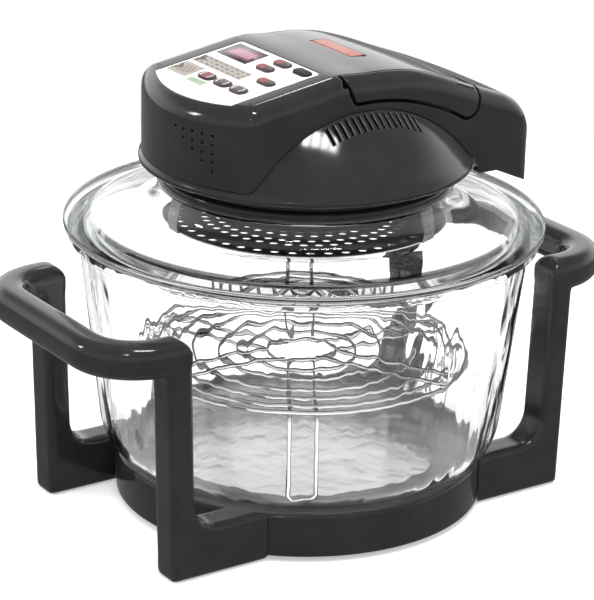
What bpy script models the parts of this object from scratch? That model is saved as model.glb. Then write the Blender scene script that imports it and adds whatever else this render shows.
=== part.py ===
"""Halogen oven: glass bowl on a ring stand, glass lid with a heater and fan head.

Metres, +Z up. The origin is on the worktop under the middle of the bowl.
The control panel and the front handle are towards -Y, the tail of the head towards +Y.
"""
import math

import bmesh
import bpy
from mathutils import Matrix, Vector

# General fits
FIT_GAP = 0.0003
CUT_OVERRUN = 0.006
MERGE_DISTANCE = 0.00001
FLAT_ANGLE = math.radians(0.5)
ROUND_STEPS = 32

# Base ring: a channel open downwards that carries the bowl on its ledge
RING_INSET = 0.0275
RING_BOTTOM_Z = 0.0035
RING_WALL = 0.0035
RING_LIP = 0.005
LEDGE_W = 0.033
LEDGE_Z = 0.0297
LEDGE_WALL = 0.0035
LIP_Z = 0.034
LIP_ROUND = 0.0025

# Feet under the ring
FOOT_COUNT = 4
FOOT_INSET = 0.019
FOOT_PAD_R = 0.009
FOOT_PAD_H = 0.006
FOOT_STEM_R = 0.005
FOOT_STEPS = 14

# Handle frames: two legs, two arms and a bar, front and rear
FRAME_HALF_W = 0.0965
LEG_W = 0.0255
LEG_FOOT_OUT = 0.0045
LEG_TOP_OUT = 0.0095
LEG_DEPTH = 0.0185
ARM_TOP_Z = 0.036
ARM_FILLET_R = 0.018
ARM_END_SHARE = 0.6
BAR_TOP_Z = 0.1715
BAR_H = 0.0245
BAR_OUT = 0.057
BAR_BEND_R = 0.037
FRAME_EDGE_R = 0.005
BAR_EDGE_R = 0.007

# Screws that hold the frames to the ring
SCREW_HEAD_R = 0.004
SCREW_HEAD_T = 0.0025
SCREW_R = 0.002
SCREW_LENGTH = 0.016
SCREW_Z = 0.017
SCREW_STEPS = 10

# Glass bowl
BOWL_TOP_Z = 0.200
BOWL_RIM_R = 0.1585
BOWL_TAPER = 0.1136
BOWL_WALL = 0.005
BOWL_CORNER_R = 0.034
BOWL_FLANGE_W = 0.0065
BOWL_FLANGE_T = 0.007
RIM_ROUND = 0.0015

# Wire rack
RACK_Z = 0.105
RACK_WIRE_R = 0.0015
RACK_EDGE_R = 0.0017
RACK_CLEARANCE = 0.0247
RACK_RING_SHARES = (0.19, 0.34, 0.49, 0.665, 0.79, 0.905, 1.0)
RACK_RING_STEPS = (8, 10, 12, 14, 16, 18, 20)
RACK_PAIRS = 6
RACK_PAIR_GAP = 0.0185
RACK_BEND_R = 0.006
RACK_BEND_SHARE = 0.3
RACK_TURN = -33.0
RACK_SINK = 0.0012
RACK_HOOK_H = 0.027

# Glass lid
LID_OVERHANG = 0.0095
LID_RIM_T = 0.0057
LID_WALL = 0.004
LID_NECK_R = 0.103
LID_NECK_TOP_Z = 0.231
LID_NECK_FILLET = 0.0185
LID_SPIGOT_H = 0.0035
LID_SPIGOT_W = 0.004
LID_SPIGOT_GAP = 0.001

# Collar, motor plate and reflector under the head
COLLAR_R = 0.1026
COLLAR_INNER_R = 0.092
COLLAR_H = 0.0078
PLATE_T = 0.0014
REFLECTOR_R = 0.0975
REFLECTOR_FLANGE_W = 0.0085
REFLECTOR_SLOPE_W = 0.008
REFLECTOR_RISE = 0.005
SHAFT_HOLE_R = 0.008

# Perforated heater guard and its brackets
GUARD_R = 0.098
GUARD_Z = 0.2075
GUARD_T = 0.0012
GUARD_RIM_H = 0.0065
GUARD_ROW_SHARES = (0.42, 0.64, 0.86)
GUARD_ROW_HOLES = (12, 18, 24)
GUARD_HOLE_R = 0.0032
GUARD_HOLE_STEPS = 5
BRACKET_COUNT = 3
BRACKET_W = 0.014
BRACKET_T = 0.0012
BRACKET_TURN = 97.0

# Halogen tube and its ceramic holders
TUBE_RING_R = 0.070
TUBE_R = 0.005
TUBE_Z = 0.2205
TUBE_OPEN_ANGLE = 40.0
HOLDER_SLACK = 0.0005
TUBE_POINTS = 22
HOLDER_LENGTH = 0.016
HOLDER_W = 0.015
HOLDER_H = 0.014

# Fan motor, shaft and fans
MOTOR_R = 0.027
MOTOR_H = 0.031
MOTOR_BOSS_R = 0.009
MOTOR_BOSS_H = 0.005
MOTOR_LUG_R = 0.036
MOTOR_LUG_W = 0.012
MOTOR_LUG_T = 0.003
MOTOR_LUG_ROOT_SHARE = 0.8
SHAFT_R = 0.003
FAN_R = 0.045
FAN_HUB_R = 0.008
FAN_HUB_H = 0.010
FAN_DISC_T = 0.0012
FAN_BLADE_T = 0.0014
FAN_BLADE_H = 0.009
FAN_BLADES = 8
FAN_Z = 0.2145
HUB_FLOOR = 0.002
COOLER_R = 0.036
COOLER_BLADES = 6
COOLER_PITCH = 32.0
COOLER_Z = 0.2795
COOLER_PADDLE_SHARE = 0.7

# Head: lower shell, a turned dome
SHELL_WALL = 0.003
SHELL_NECK_R = 0.098
SHELL_LIP_R = 0.116
SHELL_LIP_Z = 0.2475
SHELL_LIP_T = 0.0035
DOME_FOOT_R = 0.112
DOME_FOOT_Z = 0.255
DOME_TOP_R = 0.0705
DOME_TOP_Z = 0.2978
DOME_ARC_R = 0.161
DOME_OPENING_R = 0.045

# Vents in the dome below the arch of the cover
VENT_COUNT = 15
VENT_FIRST_Y = -0.0334
VENT_LAST_Y = 0.0372
VENT_INNER_X = 0.0715
VENT_OUTER_X = 0.0822
VENT_W = 0.0022

# Head: top cover, a long arched spine
COVER_HALF_W = 0.070
COVER_FRONT_R = 0.114
COVER_FRONT_CORNER = 0.0115
COVER_REAR_Y = 0.147
COVER_REAR_BOW = 0.0012
COVER_REAR_CORNER = 0.0145
COVER_SHOULDER_R = 0.012
COVER_REAR_ROUND_L = 0.026
COVER_REAR_ROUND_H = 0.0185
COVER_WALL = 0.0035
COVER_ROOF = 0.0048
COVER_SIDE_RIB = 0.014
COVER_FORM_FLOOR_Z = 0.195
COVER_FRONT_Z = 0.2482
TAIL_Z = 0.239
TAIL_TIP_Z = 0.224
TAIL_START_Y = 0.099
TAIL_BEND_Y = 0.113
TAIL_PLATE_T = 0.0025
COVER_SIDE_STATIONS = 13
COVER_MIN_CORNER = 0.0008
CREST_Y = 0.010
CREST_Z = 0.3225
CROWN_DROP = 0.002
CROWN_SHARES = (0.5, 0.0, -0.5)
REAR_EDGE_Z = 0.283
BACK_SHARES = ((0.0, 0.0), (0.234, 0.0625), (0.416, 0.2375), (0.672, 0.575), (0.927, 0.90), (1.0, 1.0))

# Control panel on the sloping front of the cover
PANEL_HALF_W = 0.0455
PANEL_REAR_Y = -0.023
PANEL_REAR_Z = 0.3215
PANEL_FRONT_Y = -0.092
PANEL_FRONT_Z = 0.310
PANEL_FRONT_R = 0.1045
PANEL_CORNER = 0.003
PANEL_T = 0.0012
PANEL_RECESS = 0.0015
WINDOW_X = -0.0285
WINDOW_Y = -0.0365
WINDOW_HALF_L = 0.0165
WINDOW_HALF_W = 0.0095
BADGE_HALF_L = 0.0246
BADGE_HALF_W = 0.0065
BADGE_Y = 0.0245
BADGE_T = 0.001
BADGE_SINK = 0.0006
BOARD_HALF_L = 0.044
BOARD_HALF_W = 0.028
BOARD_T = 0.0016
BOARD_DEPTH = 0.0105
BOSS_R = 0.0028
BOSS_INSET = 0.004

# Keys: name, place on the panel (X, Y) and half length, half width
KEY_SIZE_LONG = (0.0075, 0.0036)
KEY_SIZE_ROUND = (0.0065, 0.0042)
KEY_PLACES = {
    "key_start": (0.0374, -0.0300, KEY_SIZE_LONG),
    "key_power": (0.0135, -0.0300, KEY_SIZE_LONG),
    "key_timer": (0.0104, -0.0418, KEY_SIZE_LONG),
    "key_stop": (0.0327, -0.0558, KEY_SIZE_LONG),
    "key_menu": (-0.0093, -0.0755, KEY_SIZE_ROUND),
    "key_down": (0.0102, -0.0755, KEY_SIZE_ROUND),
    "key_up": (0.0297, -0.0755, KEY_SIZE_ROUND),
}
KEY_PROUD = 0.0015
KEY_SLACK = 0.0004
KEY_FLANGE = 0.001
KEY_FLANGE_T = 0.001
KEY_STEM_R = 0.0016
KEY_TRAVEL = 0.0008

# Dot holes in the front face, a triangle of columns with level tops
DOT_R = 0.0010
DOT_COLUMNS = 5
DOT_FIRST_X = 0.0445
DOT_PITCH_X = 0.0082
DOT_TOP_Z = 0.2896
DOT_PITCH_Z = 0.0061
DOT_STEPS = 6

# Carry handle: two arms in pockets of the shoulders and a bar across the back
PIVOT_Y = -0.004
PIVOT_Z = 0.3135
ARM_INNER_X = 0.060
ARM_FRONT_TOP_Y = -0.015
ARM_FRONT_LOW_Y = -0.008
ARM_FRONT_LOW_Z = 0.305
ARM_MID_Y = 0.036
ARM_MID_Z = 0.298
ARM_REAR_LOW_Z = 0.281
ARM_REACH_R = 0.1012
ARM_END_ANGLE = -14.6
ARM_END_R = 0.0085
ARM_BELLY_R = 0.16
ARM_CORNER_R = 0.003
POCKET_GAP = 0.0026
POCKET_SIDE_GAP = 0.0006
RELIEF_R = 0.0146
RELIEF_OUTER_X = 0.0686
RELIEF_RIM_R = 0.0100
GRIP_Y = 0.0865
GRIP_HALF_W = 0.0085
GRIP_HALF_T = 0.00265
GRIP_RISE = 0.00015
GRIP_HALF_L = 0.0655
GRIP_EDGE_R = 0.0022
TROUGH_GAP = 0.0017
PIN_R = 0.0025
PIN_HEAD_R = 0.004
PIN_HEAD_T = 0.0015
PIN_DEPTH = 0.0062
PEG_R = 0.002
PEG_SLACK = 0.001
SWITCH_HALF_L = 0.010
SWITCH_HALF_W = 0.005
SWITCH_H = 0.0058

# Cord bushing in the rear of the tail
BUSHING_Z = 0.241
BUSHING_FLANGE_R = 0.0085
BUSHING_FLANGE_T = 0.002
BUSHING_NECK_R = 0.006
BUSHING_BORE_R = 0.0036

# Sizes that follow from the ones above
BOWL_FLANGE_R = BOWL_RIM_R + BOWL_FLANGE_W
LID_R = BOWL_RIM_R + LID_OVERHANG
RING_R = BOWL_RIM_R - RING_INSET
LEDGE_INNER_R = RING_R - LEDGE_W
FOOT_CIRCLE_R = RING_R - FOOT_INSET
LEG_FOOT_Y = BOWL_RIM_R + LEG_FOOT_OUT
LEG_TOP_Y = BOWL_RIM_R + LEG_TOP_OUT
BAR_REACH_Y = BOWL_RIM_R + BAR_OUT
RACK_RING_R = BOWL_RIM_R - (BOWL_TOP_Z - RACK_Z) * BOWL_TAPER - BOWL_WALL - RACK_CLEARANCE
BOWL_BOTTOM_Z = LEDGE_Z + FIT_GAP
BOWL_FLOOR_Z = BOWL_BOTTOM_Z + BOWL_WALL
LID_RIM_Z = BOWL_TOP_Z + FIT_GAP
LID_RIM_TOP_Z = LID_RIM_Z + LID_RIM_T
COLLAR_Z = LID_NECK_TOP_Z + FIT_GAP
COLLAR_TOP_Z = COLLAR_Z + COLLAR_H
PLATE_Z = COLLAR_TOP_Z + FIT_GAP
PLATE_TOP_Z = PLATE_Z + PLATE_T
REFLECTOR_TOP_Z = COLLAR_Z - FIT_GAP
REFLECTOR_Z = REFLECTOR_TOP_Z - PLATE_T
MOTOR_Z = PLATE_TOP_Z + FIT_GAP
RING_UNDER_Z = LEDGE_Z - LEDGE_WALL
LEG_MID_X = FRAME_HALF_W - LEG_W / 2
PANEL_SLOPE = (PANEL_REAR_Z - PANEL_FRONT_Z) / (PANEL_REAR_Y - PANEL_FRONT_Y)
PANEL_TILT = math.atan(PANEL_SLOPE)

# An outline in the (Y, Z) plane made solid along X
ALONG_X = Matrix(((0, 0, 1, 0), (1, 0, 0, 0), (0, 1, 0, 0), (0, 0, 0, 1)))


def start_scene():
    """Remove what is in the scene and make one collection for the oven and one for its cutters."""
    for item in list(bpy.data.objects):
        bpy.data.objects.remove(item)
    scene = bpy.context.scene
    oven = bpy.data.collections.new("halogen_oven")
    cutters = bpy.data.collections.new("cutters")
    scene.collection.children.link(oven)
    scene.collection.children.link(cutters)
    return oven, cutters


OVEN, CUTTERS = start_scene()


def finish(name, colour, roughness, metallic=0.0, alpha=1.0):
    """One Principled material."""
    material = bpy.data.materials.new(name)
    material.use_nodes = True
    shader = material.node_tree.nodes["Principled BSDF"]
    shader.inputs["Base Color"].default_value = (*colour, 1.0)
    shader.inputs["Roughness"].default_value = roughness
    shader.inputs["Metallic"].default_value = metallic
    shader.inputs["Alpha"].default_value = alpha
    material.diffuse_color = (*colour, alpha)
    return material


def black_plastic(name):
    """Glossy black moulded plastic."""
    return finish(name, (0.030, 0.030, 0.032), 0.22)


def sheet_steel(name):
    """Bright pressed steel."""
    return finish(name, (0.62, 0.62, 0.60), 0.30, 1.0)


def add_part(name, mesh, material, parent=None):
    """A named sub-part from a mesh; its place stays the same when it gets a parent."""
    part = bpy.data.objects.new(name, mesh)
    part.data.materials.append(material)
    OVEN.objects.link(part)
    attach(part, parent)
    return part


def attach(part, parent):
    """Parent a part without moving it."""
    if parent is not None:
        part.parent = parent
        part.matrix_parent_inverse = Matrix.Translation(parent.location).inverted()


def add_cutter(name, mesh):
    """A cutting tool that is never rendered."""
    cutter = bpy.data.objects.new(name, mesh)
    cutter.hide_render = True
    cutter.display_type = "WIRE"
    CUTTERS.objects.link(cutter)
    return cutter


def combine(part, tool, operation):
    """Cut, join or intersect a part with a tool."""
    modifier = part.modifiers.new(tool.name, "BOOLEAN")
    modifier.operation = operation
    modifier.solver = "EXACT"
    modifier.object = tool


def cut(part, mesh, name):
    """Take a mesh away from a part."""
    combine(part, add_cutter(name, mesh), "DIFFERENCE")


def join(part, mesh, name):
    """Add a mesh to a part."""
    combine(part, add_cutter(name, mesh), "UNION")


def keep_inside(part, mesh, name):
    """Keep only what lies inside a mesh."""
    combine(part, add_cutter(name, mesh), "INTERSECT")


def soften(part, width, segments=2):
    """Round the sharp edges of a part."""
    modifier = part.modifiers.new("soften", "BEVEL")
    modifier.width = width
    modifier.segments = segments
    modifier.limit_method = "ANGLE"
    modifier.angle_limit = math.radians(38)


def shade_round(part, angle=35):
    """Smooth shading with sharp edges kept."""
    part.data.shade_smooth()
    part.data.set_sharp_from_angle(angle=math.radians(angle))


def tidy_mesh(mesh):
    """Weld a mesh, merge its flat faces and point its faces outwards."""
    shape = bmesh.new()
    shape.from_mesh(mesh)
    bmesh.ops.remove_doubles(shape, verts=shape.verts, dist=MERGE_DISTANCE)
    bmesh.ops.dissolve_limit(shape, angle_limit=FLAT_ANGLE, verts=shape.verts, edges=shape.edges)
    bmesh.ops.recalc_face_normals(shape, faces=shape.faces)
    shape.to_mesh(mesh)
    shape.free()
    return mesh


def mesh_of(curve_data, matrix):
    """The mesh of a curve, placed by a matrix; the curve object is removed."""
    guide = bpy.data.objects.new("guide", curve_data)
    bpy.context.scene.collection.objects.link(guide)
    bpy.context.view_layer.update()
    seen = guide.evaluated_get(bpy.context.evaluated_depsgraph_get())
    mesh = bpy.data.meshes.new_from_object(seen)
    bpy.data.objects.remove(guide)
    mesh.transform(matrix)
    return mesh


def slab(outlines, low, high, matrix=Matrix()):
    """A flat outline, with holes if more are given, made solid between two heights."""
    if not isinstance(outlines[0][0], (tuple, list, Vector)):
        outlines = [outlines]
    curve = bpy.data.curves.new("outline", "CURVE")
    curve.dimensions = "2D"
    curve.fill_mode = "BOTH"
    curve.extrude = (high - low) / 2
    for outline in outlines:
        spline = curve.splines.new("POLY")
        spline.points.add(len(outline) - 1)
        for point, (u, v) in zip(spline.points, outline):
            point.co = (u, v, 0, 1)
        spline.use_cyclic_u = True
    mesh = mesh_of(curve, matrix @ Matrix.Translation((0, 0, (low + high) / 2)))
    return tidy_mesh(mesh)


def cylinder(radius, low, high, steps, matrix=Matrix()):
    """A round bar along the local Z axis between two heights."""
    shape = bmesh.new()
    bmesh.ops.create_cone(shape, cap_ends=True, segments=steps, radius1=radius, radius2=radius,
                          depth=high - low)
    mesh = bpy.data.meshes.new("cylinder")
    shape.to_mesh(mesh)
    shape.free()
    mesh.transform(matrix @ Matrix.Translation((0, 0, (low + high) / 2)))
    return mesh


def box(low, high, matrix=Matrix()):
    """A box between two corners."""
    shape = bmesh.new()
    bmesh.ops.create_cube(shape, size=1.0)
    mesh = bpy.data.meshes.new("box")
    shape.to_mesh(mesh)
    shape.free()
    size = [b - a for a, b in zip(low, high)]
    middle = [(a + b) / 2 for a, b in zip(low, high)]
    mesh.transform(matrix @ Matrix.Translation(middle) @ Matrix.Diagonal((*size, 1)))
    return mesh


def gather(meshes):
    """Put separate shapes into one mesh."""
    shape = bmesh.new()
    for mesh in meshes:
        shape.from_mesh(mesh)
    whole = bpy.data.meshes.new("group")
    shape.to_mesh(whole)
    shape.free()
    return whole


def turned_mesh(profile, closed):
    """The edges of a profile of (radius, height) points in the XZ plane."""
    mesh = bpy.data.meshes.new("profile")
    count = len(profile)
    edges = [(i, i + 1) for i in range(count - 1)]
    if closed:
        edges.append((count - 1, 0))
    mesh.from_pydata([(r, 0, z) for r, z in profile], edges, [])
    return mesh


def turn(part, steps):
    """Turn a profile about Z into a solid."""
    modifier = part.modifiers.new("turn", "SCREW")
    modifier.axis = "Z"
    modifier.steps = steps
    modifier.render_steps = steps
    modifier.use_merge_vertices = True
    modifier.merge_threshold = MERGE_DISTANCE
    modifier.use_smooth_shade = True


def turned_part(name, profile, material, parent=None, closed=True, steps=ROUND_STEPS):
    """A turned sub-part; the profile runs down its outer side."""
    part = add_part(name, turned_mesh(profile, closed), material, parent)
    turn(part, steps)
    return part


def turned_cutter(name, profile, steps=ROUND_STEPS):
    """A turned tool whose profile starts and ends on the axis."""
    cutter = add_cutter(name, turned_mesh(profile, False))
    turn(cutter, steps)
    return cutter


def tube_mesh(paths, radius, resolution, cyclic=False):
    """Round wires along lists of points."""
    curve = bpy.data.curves.new("wire", "CURVE")
    curve.dimensions = "3D"
    curve.bevel_depth = radius
    curve.bevel_resolution = resolution
    curve.use_fill_caps = True
    for path in paths:
        spline = curve.splines.new("POLY")
        spline.points.add(len(path) - 1)
        for point, place in zip(spline.points, path):
            point.co = (*place, 1)
        spline.use_cyclic_u = cyclic
    mesh = mesh_of(curve, Matrix())
    shape = bmesh.new()
    shape.from_mesh(mesh)
    bmesh.ops.remove_doubles(shape, verts=shape.verts, dist=MERGE_DISTANCE)
    bmesh.ops.recalc_face_normals(shape, faces=shape.faces)
    shape.to_mesh(mesh)
    shape.free()
    return mesh


def arc(centre, radius, start, end, count):
    """Points on an arc between two angles in degrees, both ends included."""
    points = []
    for step in range(count):
        angle = math.radians(start + (end - start) * step / (count - 1))
        points.append((centre[0] + radius * math.cos(angle), centre[1] + radius * math.sin(angle)))
    return points


def arc_between(start, end, radius, count):
    """Points on an arc of a radius that bulges to the left of the way from start to end."""
    a, b = Vector(start), Vector(end)
    chord = b - a
    left = Vector((-chord.y, chord.x)).normalized()
    centre = (a + b) / 2 - left * math.sqrt(radius ** 2 - chord.length_squared / 4)
    first = (a - centre)
    turn_angle = -2 * math.asin(chord.length / 2 / radius)
    points = []
    for step in range(count):
        angle = turn_angle * step / (count - 1)
        c, s = math.cos(angle), math.sin(angle)
        points.append((centre.x + first.x * c - first.y * s, centre.y + first.x * s + first.y * c))
    return points


def rounded(points, radius, count=3):
    """A closed outline with its corners rounded."""
    result = []
    size = len(points)
    for index in range(size):
        before, here, after = (Vector(points[(index + k) % size]) for k in (-1, 0, 1))
        inward, outward = (before - here), (after - here)
        half = inward.angle(outward) / 2
        reach = min(radius / math.tan(half), inward.length / 2, outward.length / 2)
        a, b = here + inward.normalized() * reach, here + outward.normalized() * reach
        for step in range(count):
            t = step / (count - 1)
            result.append(tuple(a * (1 - t) ** 2 + here * 2 * t * (1 - t) + b * t ** 2))
    return result


def oblong(centre, half_length, half_width, radius, count=3):
    """A rectangle with round corners."""
    x, y = centre
    corners = [(x - half_length, y - half_width), (x + half_length, y - half_width),
               (x + half_length, y + half_width), (x - half_length, y + half_width)]
    return rounded(corners, radius, count)


def grow(outline, amount):
    """An outline moved outwards, or inwards if the amount is negative."""
    area = sum(a[0] * b[1] - b[0] * a[1] for a, b in zip(outline, outline[1:] + outline[:1]))
    side = 1 if area > 0 else -1
    result = []
    size = len(outline)
    for index in range(size):
        before, here, after = (Vector(outline[(index + k) % size]) for k in (-1, 0, 1))
        first, second = (here - before).normalized(), (after - here).normalized()
        normal = Vector((first.y + second.y, -first.x - second.x)).normalized() * side
        lean = normal.dot(Vector((first.y, -first.x))) * side
        result.append(tuple(here + normal * amount / max(lean, 0.3)))
    return result


def around(count, first=0.0):
    """Turns about Z that share a circle out."""
    return [Matrix.Rotation(math.radians(first + 360.0 * k / count), 4, "Z") for k in range(count)]


def facing_out(angle, height):
    """A frame whose Z axis points away from the oven's axis at an angle and a height."""
    turn_z = Matrix.Rotation(math.radians(angle), 4, "Z")
    return turn_z @ Matrix.Translation((0, 0, height)) @ Matrix.Rotation(math.radians(90), 4, "Y")


def empty(name, place):
    """A parent for a body that moves, on the axis of its joint."""
    guide = bpy.data.objects.new(name, None)
    guide.location = place
    OVEN.objects.link(guide)
    return guide


def both_sides(mesh):
    """A mesh and its mirror image in the plane X = 0, as two separate bodies."""
    other = mesh.copy()
    other.transform(Matrix.Diagonal((-1, 1, 1, 1)))
    other.flip_normals()
    return gather([mesh, other])


# Stand


def frame_screw_angle():
    """Where the middle of a frame's arm meets the ring, in degrees from +X."""
    return math.degrees(math.acos(LEG_MID_X / RING_R))


def flat_r(radius):
    """Distance from the axis to the flats of a turned wall of a radius."""
    return radius * math.cos(math.pi / ROUND_STEPS)


def frame_screw_angles():
    """The four arms' angles."""
    first = frame_screw_angle()
    return [first, 180 - first, 180 + first, 360 - first]


def make_base_ring():
    """The ring the bowl stands in: outer skirt, lip, ledge and inner wall."""
    inner_r = RING_R - RING_LIP
    profile = [
        (RING_R - LIP_ROUND, LIP_Z),
        (RING_R, LIP_Z - LIP_ROUND),
        (RING_R, RING_BOTTOM_Z),
        (RING_R - RING_WALL, RING_BOTTOM_Z),
        (RING_R - RING_WALL, RING_UNDER_Z),
        (LEDGE_INNER_R + LEDGE_WALL, RING_UNDER_Z),
        (LEDGE_INNER_R + LEDGE_WALL, RING_BOTTOM_Z),
        (LEDGE_INNER_R, RING_BOTTOM_Z),
        (LEDGE_INNER_R, LEDGE_Z),
        (inner_r - LIP_ROUND, LEDGE_Z),
        (inner_r, LIP_Z - FIT_GAP),
    ]
    ring = turned_part("base_ring", profile, black_plastic("ring_plastic"))
    holes = [cylinder(SCREW_R + FIT_GAP, RING_R - RING_WALL - CUT_OVERRUN, RING_R + CUT_OVERRUN,
                      SCREW_STEPS, facing_out(angle, SCREW_Z)) for angle in frame_screw_angles()]
    cut(ring, gather(holes), "ring_screw_holes")
    return ring


def make_feet():
    """Rubber feet pushed up into the ring's channel."""
    profile = [
        (0, RING_UNDER_Z - FIT_GAP),
        (FOOT_STEM_R, RING_UNDER_Z - FIT_GAP),
        (FOOT_STEM_R, FOOT_PAD_H),
        (FOOT_PAD_R, FOOT_PAD_H),
        (FOOT_PAD_R, RIM_ROUND),
        (FOOT_PAD_R - RIM_ROUND, 0),
        (0, 0),
    ]
    rubber = finish("foot_rubber", (0.05, 0.05, 0.05), 0.8)
    for index, place in enumerate(around(FOOT_COUNT)):
        foot = turned_part(f"foot_{index + 1}", profile, rubber, closed=False, steps=FOOT_STEPS)
        foot.location = place @ Vector((FOOT_CIRCLE_R, 0, 0))


def leg_outline():
    """Side view of one leg with its arm, as (distance from the X axis, height)."""
    lean = (LEG_TOP_Y - LEG_FOOT_Y) / BAR_TOP_Z
    inner_foot = LEG_FOOT_Y - LEG_DEPTH
    top_z = BAR_TOP_Z - BAR_H / 2
    fillet_z = ARM_TOP_Z + ARM_FILLET_R
    fillet_y = inner_foot + lean * fillet_z - ARM_FILLET_R
    arm_end = RING_R * ARM_END_SHARE
    fillet = arc((fillet_y, fillet_z), ARM_FILLET_R, 0, -90, 6)
    return [(arm_end, 0), (LEG_FOOT_Y, 0), (LEG_FOOT_Y + lean * top_z, top_z),
            (inner_foot + lean * top_z, top_z)] + fillet + [(arm_end, ARM_TOP_Z)]


def bar_outline():
    """Plan of the bar: it leaves the legs, bends and crosses in front of the bowl."""
    half = LEG_W / 2
    start_y = LEG_TOP_Y - LEG_DEPTH
    centre = (LEG_MID_X - BAR_BEND_R, BAR_REACH_Y - half - BAR_BEND_R)
    outer = [(LEG_MID_X + half, start_y)] + arc(centre, BAR_BEND_R + half, 0, 90, 7)
    inner = [(LEG_MID_X - half, start_y)] + arc(centre, BAR_BEND_R - half, 0, 90, 6)
    outer_full = outer + [(-x, y) for x, y in outer[::-1]]
    inner_full = inner + [(-x, y) for x, y in inner[::-1]]
    return outer_full + inner_full[::-1]


def make_frame(name, side):
    """One handle frame: a bar carried by two legs whose arms reach to the ring."""
    place = Matrix.Diagonal((1, side, 1, 1))
    bar = slab(bar_outline(), BAR_TOP_Z - BAR_H, BAR_TOP_Z, place)
    legs = [slab(leg_outline(), x - LEG_W / 2, x + LEG_W / 2, place @ ALONG_X)
            for x in (-LEG_MID_X, LEG_MID_X)]
    for mesh in [bar] + legs:
        tidy_mesh(mesh)
    frame = add_part(name, bar, black_plastic(name + "_plastic"))
    soften(frame, BAR_EDGE_R)
    for index, mesh in enumerate(legs):
        leg = add_cutter(f"{name}_leg_{index + 1}", mesh)
        soften(leg, FRAME_EDGE_R, 2)
        combine(frame, leg, "UNION")
    well = cylinder(RING_R + FIT_GAP, -CUT_OVERRUN, ARM_TOP_Z + CUT_OVERRUN, ROUND_STEPS)
    cut(frame, well, name + "_ring_seat")
    deep = RING_R - RING_WALL + SCREW_LENGTH
    holes = [cylinder(SCREW_R + FIT_GAP, RING_R - CUT_OVERRUN, deep, SCREW_STEPS,
                      facing_out(angle, SCREW_Z)) for angle in frame_screw_angles()]
    cut(frame, gather(holes), name + "_screw_holes")
    shade_round(frame)
    return frame


def make_frame_screws():
    """Screws driven outwards through the skirt into the arms."""
    steel = sheet_steel("screw_steel")
    wall = flat_r(RING_R - RING_WALL)
    seat = math.sqrt(wall ** 2 - SCREW_HEAD_R ** 2) - FIT_GAP
    for index, angle in enumerate(frame_screw_angles()):
        place = facing_out(angle, SCREW_Z)
        head = cylinder(SCREW_HEAD_R, seat - SCREW_HEAD_T, seat, SCREW_STEPS, place)
        shank = cylinder(SCREW_R, seat - SCREW_HEAD_T / 2, seat + SCREW_LENGTH - FIT_GAP * 2,
                         SCREW_STEPS, place)
        screw = add_part(f"frame_screw_{index + 1}", head, steel)
        join(screw, shank, f"frame_screw_{index + 1}_shank")


# Bowl and rack


def bowl_wall_r(height, inset=0.0):
    """Radius of the tapered wall at a height."""
    return BOWL_RIM_R - (BOWL_TOP_Z - height) * BOWL_TAPER - inset


def bowl_corner(inset):
    """The round corner between the wall and the flat bottom, from the wall down."""
    lean = math.atan(BOWL_TAPER)
    radius = BOWL_CORNER_R - inset
    centre_z = BOWL_BOTTOM_Z + BOWL_CORNER_R
    centre_r = bowl_wall_r(centre_z) - BOWL_CORNER_R / math.cos(lean)
    return arc((centre_r, centre_z), radius, -math.degrees(lean), -90, 6)


def make_bowl(parent):
    """The glass bowl with its flanged rim."""
    flange_z = BOWL_TOP_Z - BOWL_FLANGE_T
    inside = [(0, BOWL_FLOOR_Z)] + bowl_corner(BOWL_WALL)[::-1]
    rim = [
        (bowl_wall_r(BOWL_TOP_Z, BOWL_WALL), BOWL_TOP_Z - RIM_ROUND),
        (bowl_wall_r(BOWL_TOP_Z, BOWL_WALL) + RIM_ROUND, BOWL_TOP_Z),
        (BOWL_FLANGE_R - RIM_ROUND, BOWL_TOP_Z),
        (BOWL_FLANGE_R, BOWL_TOP_Z - RIM_ROUND),
        (BOWL_FLANGE_R, flange_z + RIM_ROUND),
        (BOWL_FLANGE_R - RIM_ROUND, flange_z),
        (bowl_wall_r(flange_z), flange_z - RIM_ROUND),
    ]
    outside = bowl_corner(0) + [(0, BOWL_BOTTOM_Z)]
    glass = finish("bowl_glass", (0.90, 0.93, 0.92), 0.05, alpha=0.3)
    turned_part("glass_bowl", inside + rim + outside, glass, parent, closed=False)


def bowl_inside_z(radius):
    """Height of the bowl's inner surface at a radius within its round corner."""
    corner_r = BOWL_CORNER_R - BOWL_WALL
    centre_z = BOWL_BOTTOM_Z + BOWL_CORNER_R
    centre_r = bowl_wall_r(centre_z) - BOWL_CORNER_R / math.cos(math.atan(BOWL_TAPER))
    reach = radius / math.cos(math.pi / ROUND_STEPS) - centre_r
    return centre_z - math.sqrt(corner_r ** 2 - reach ** 2)


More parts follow.
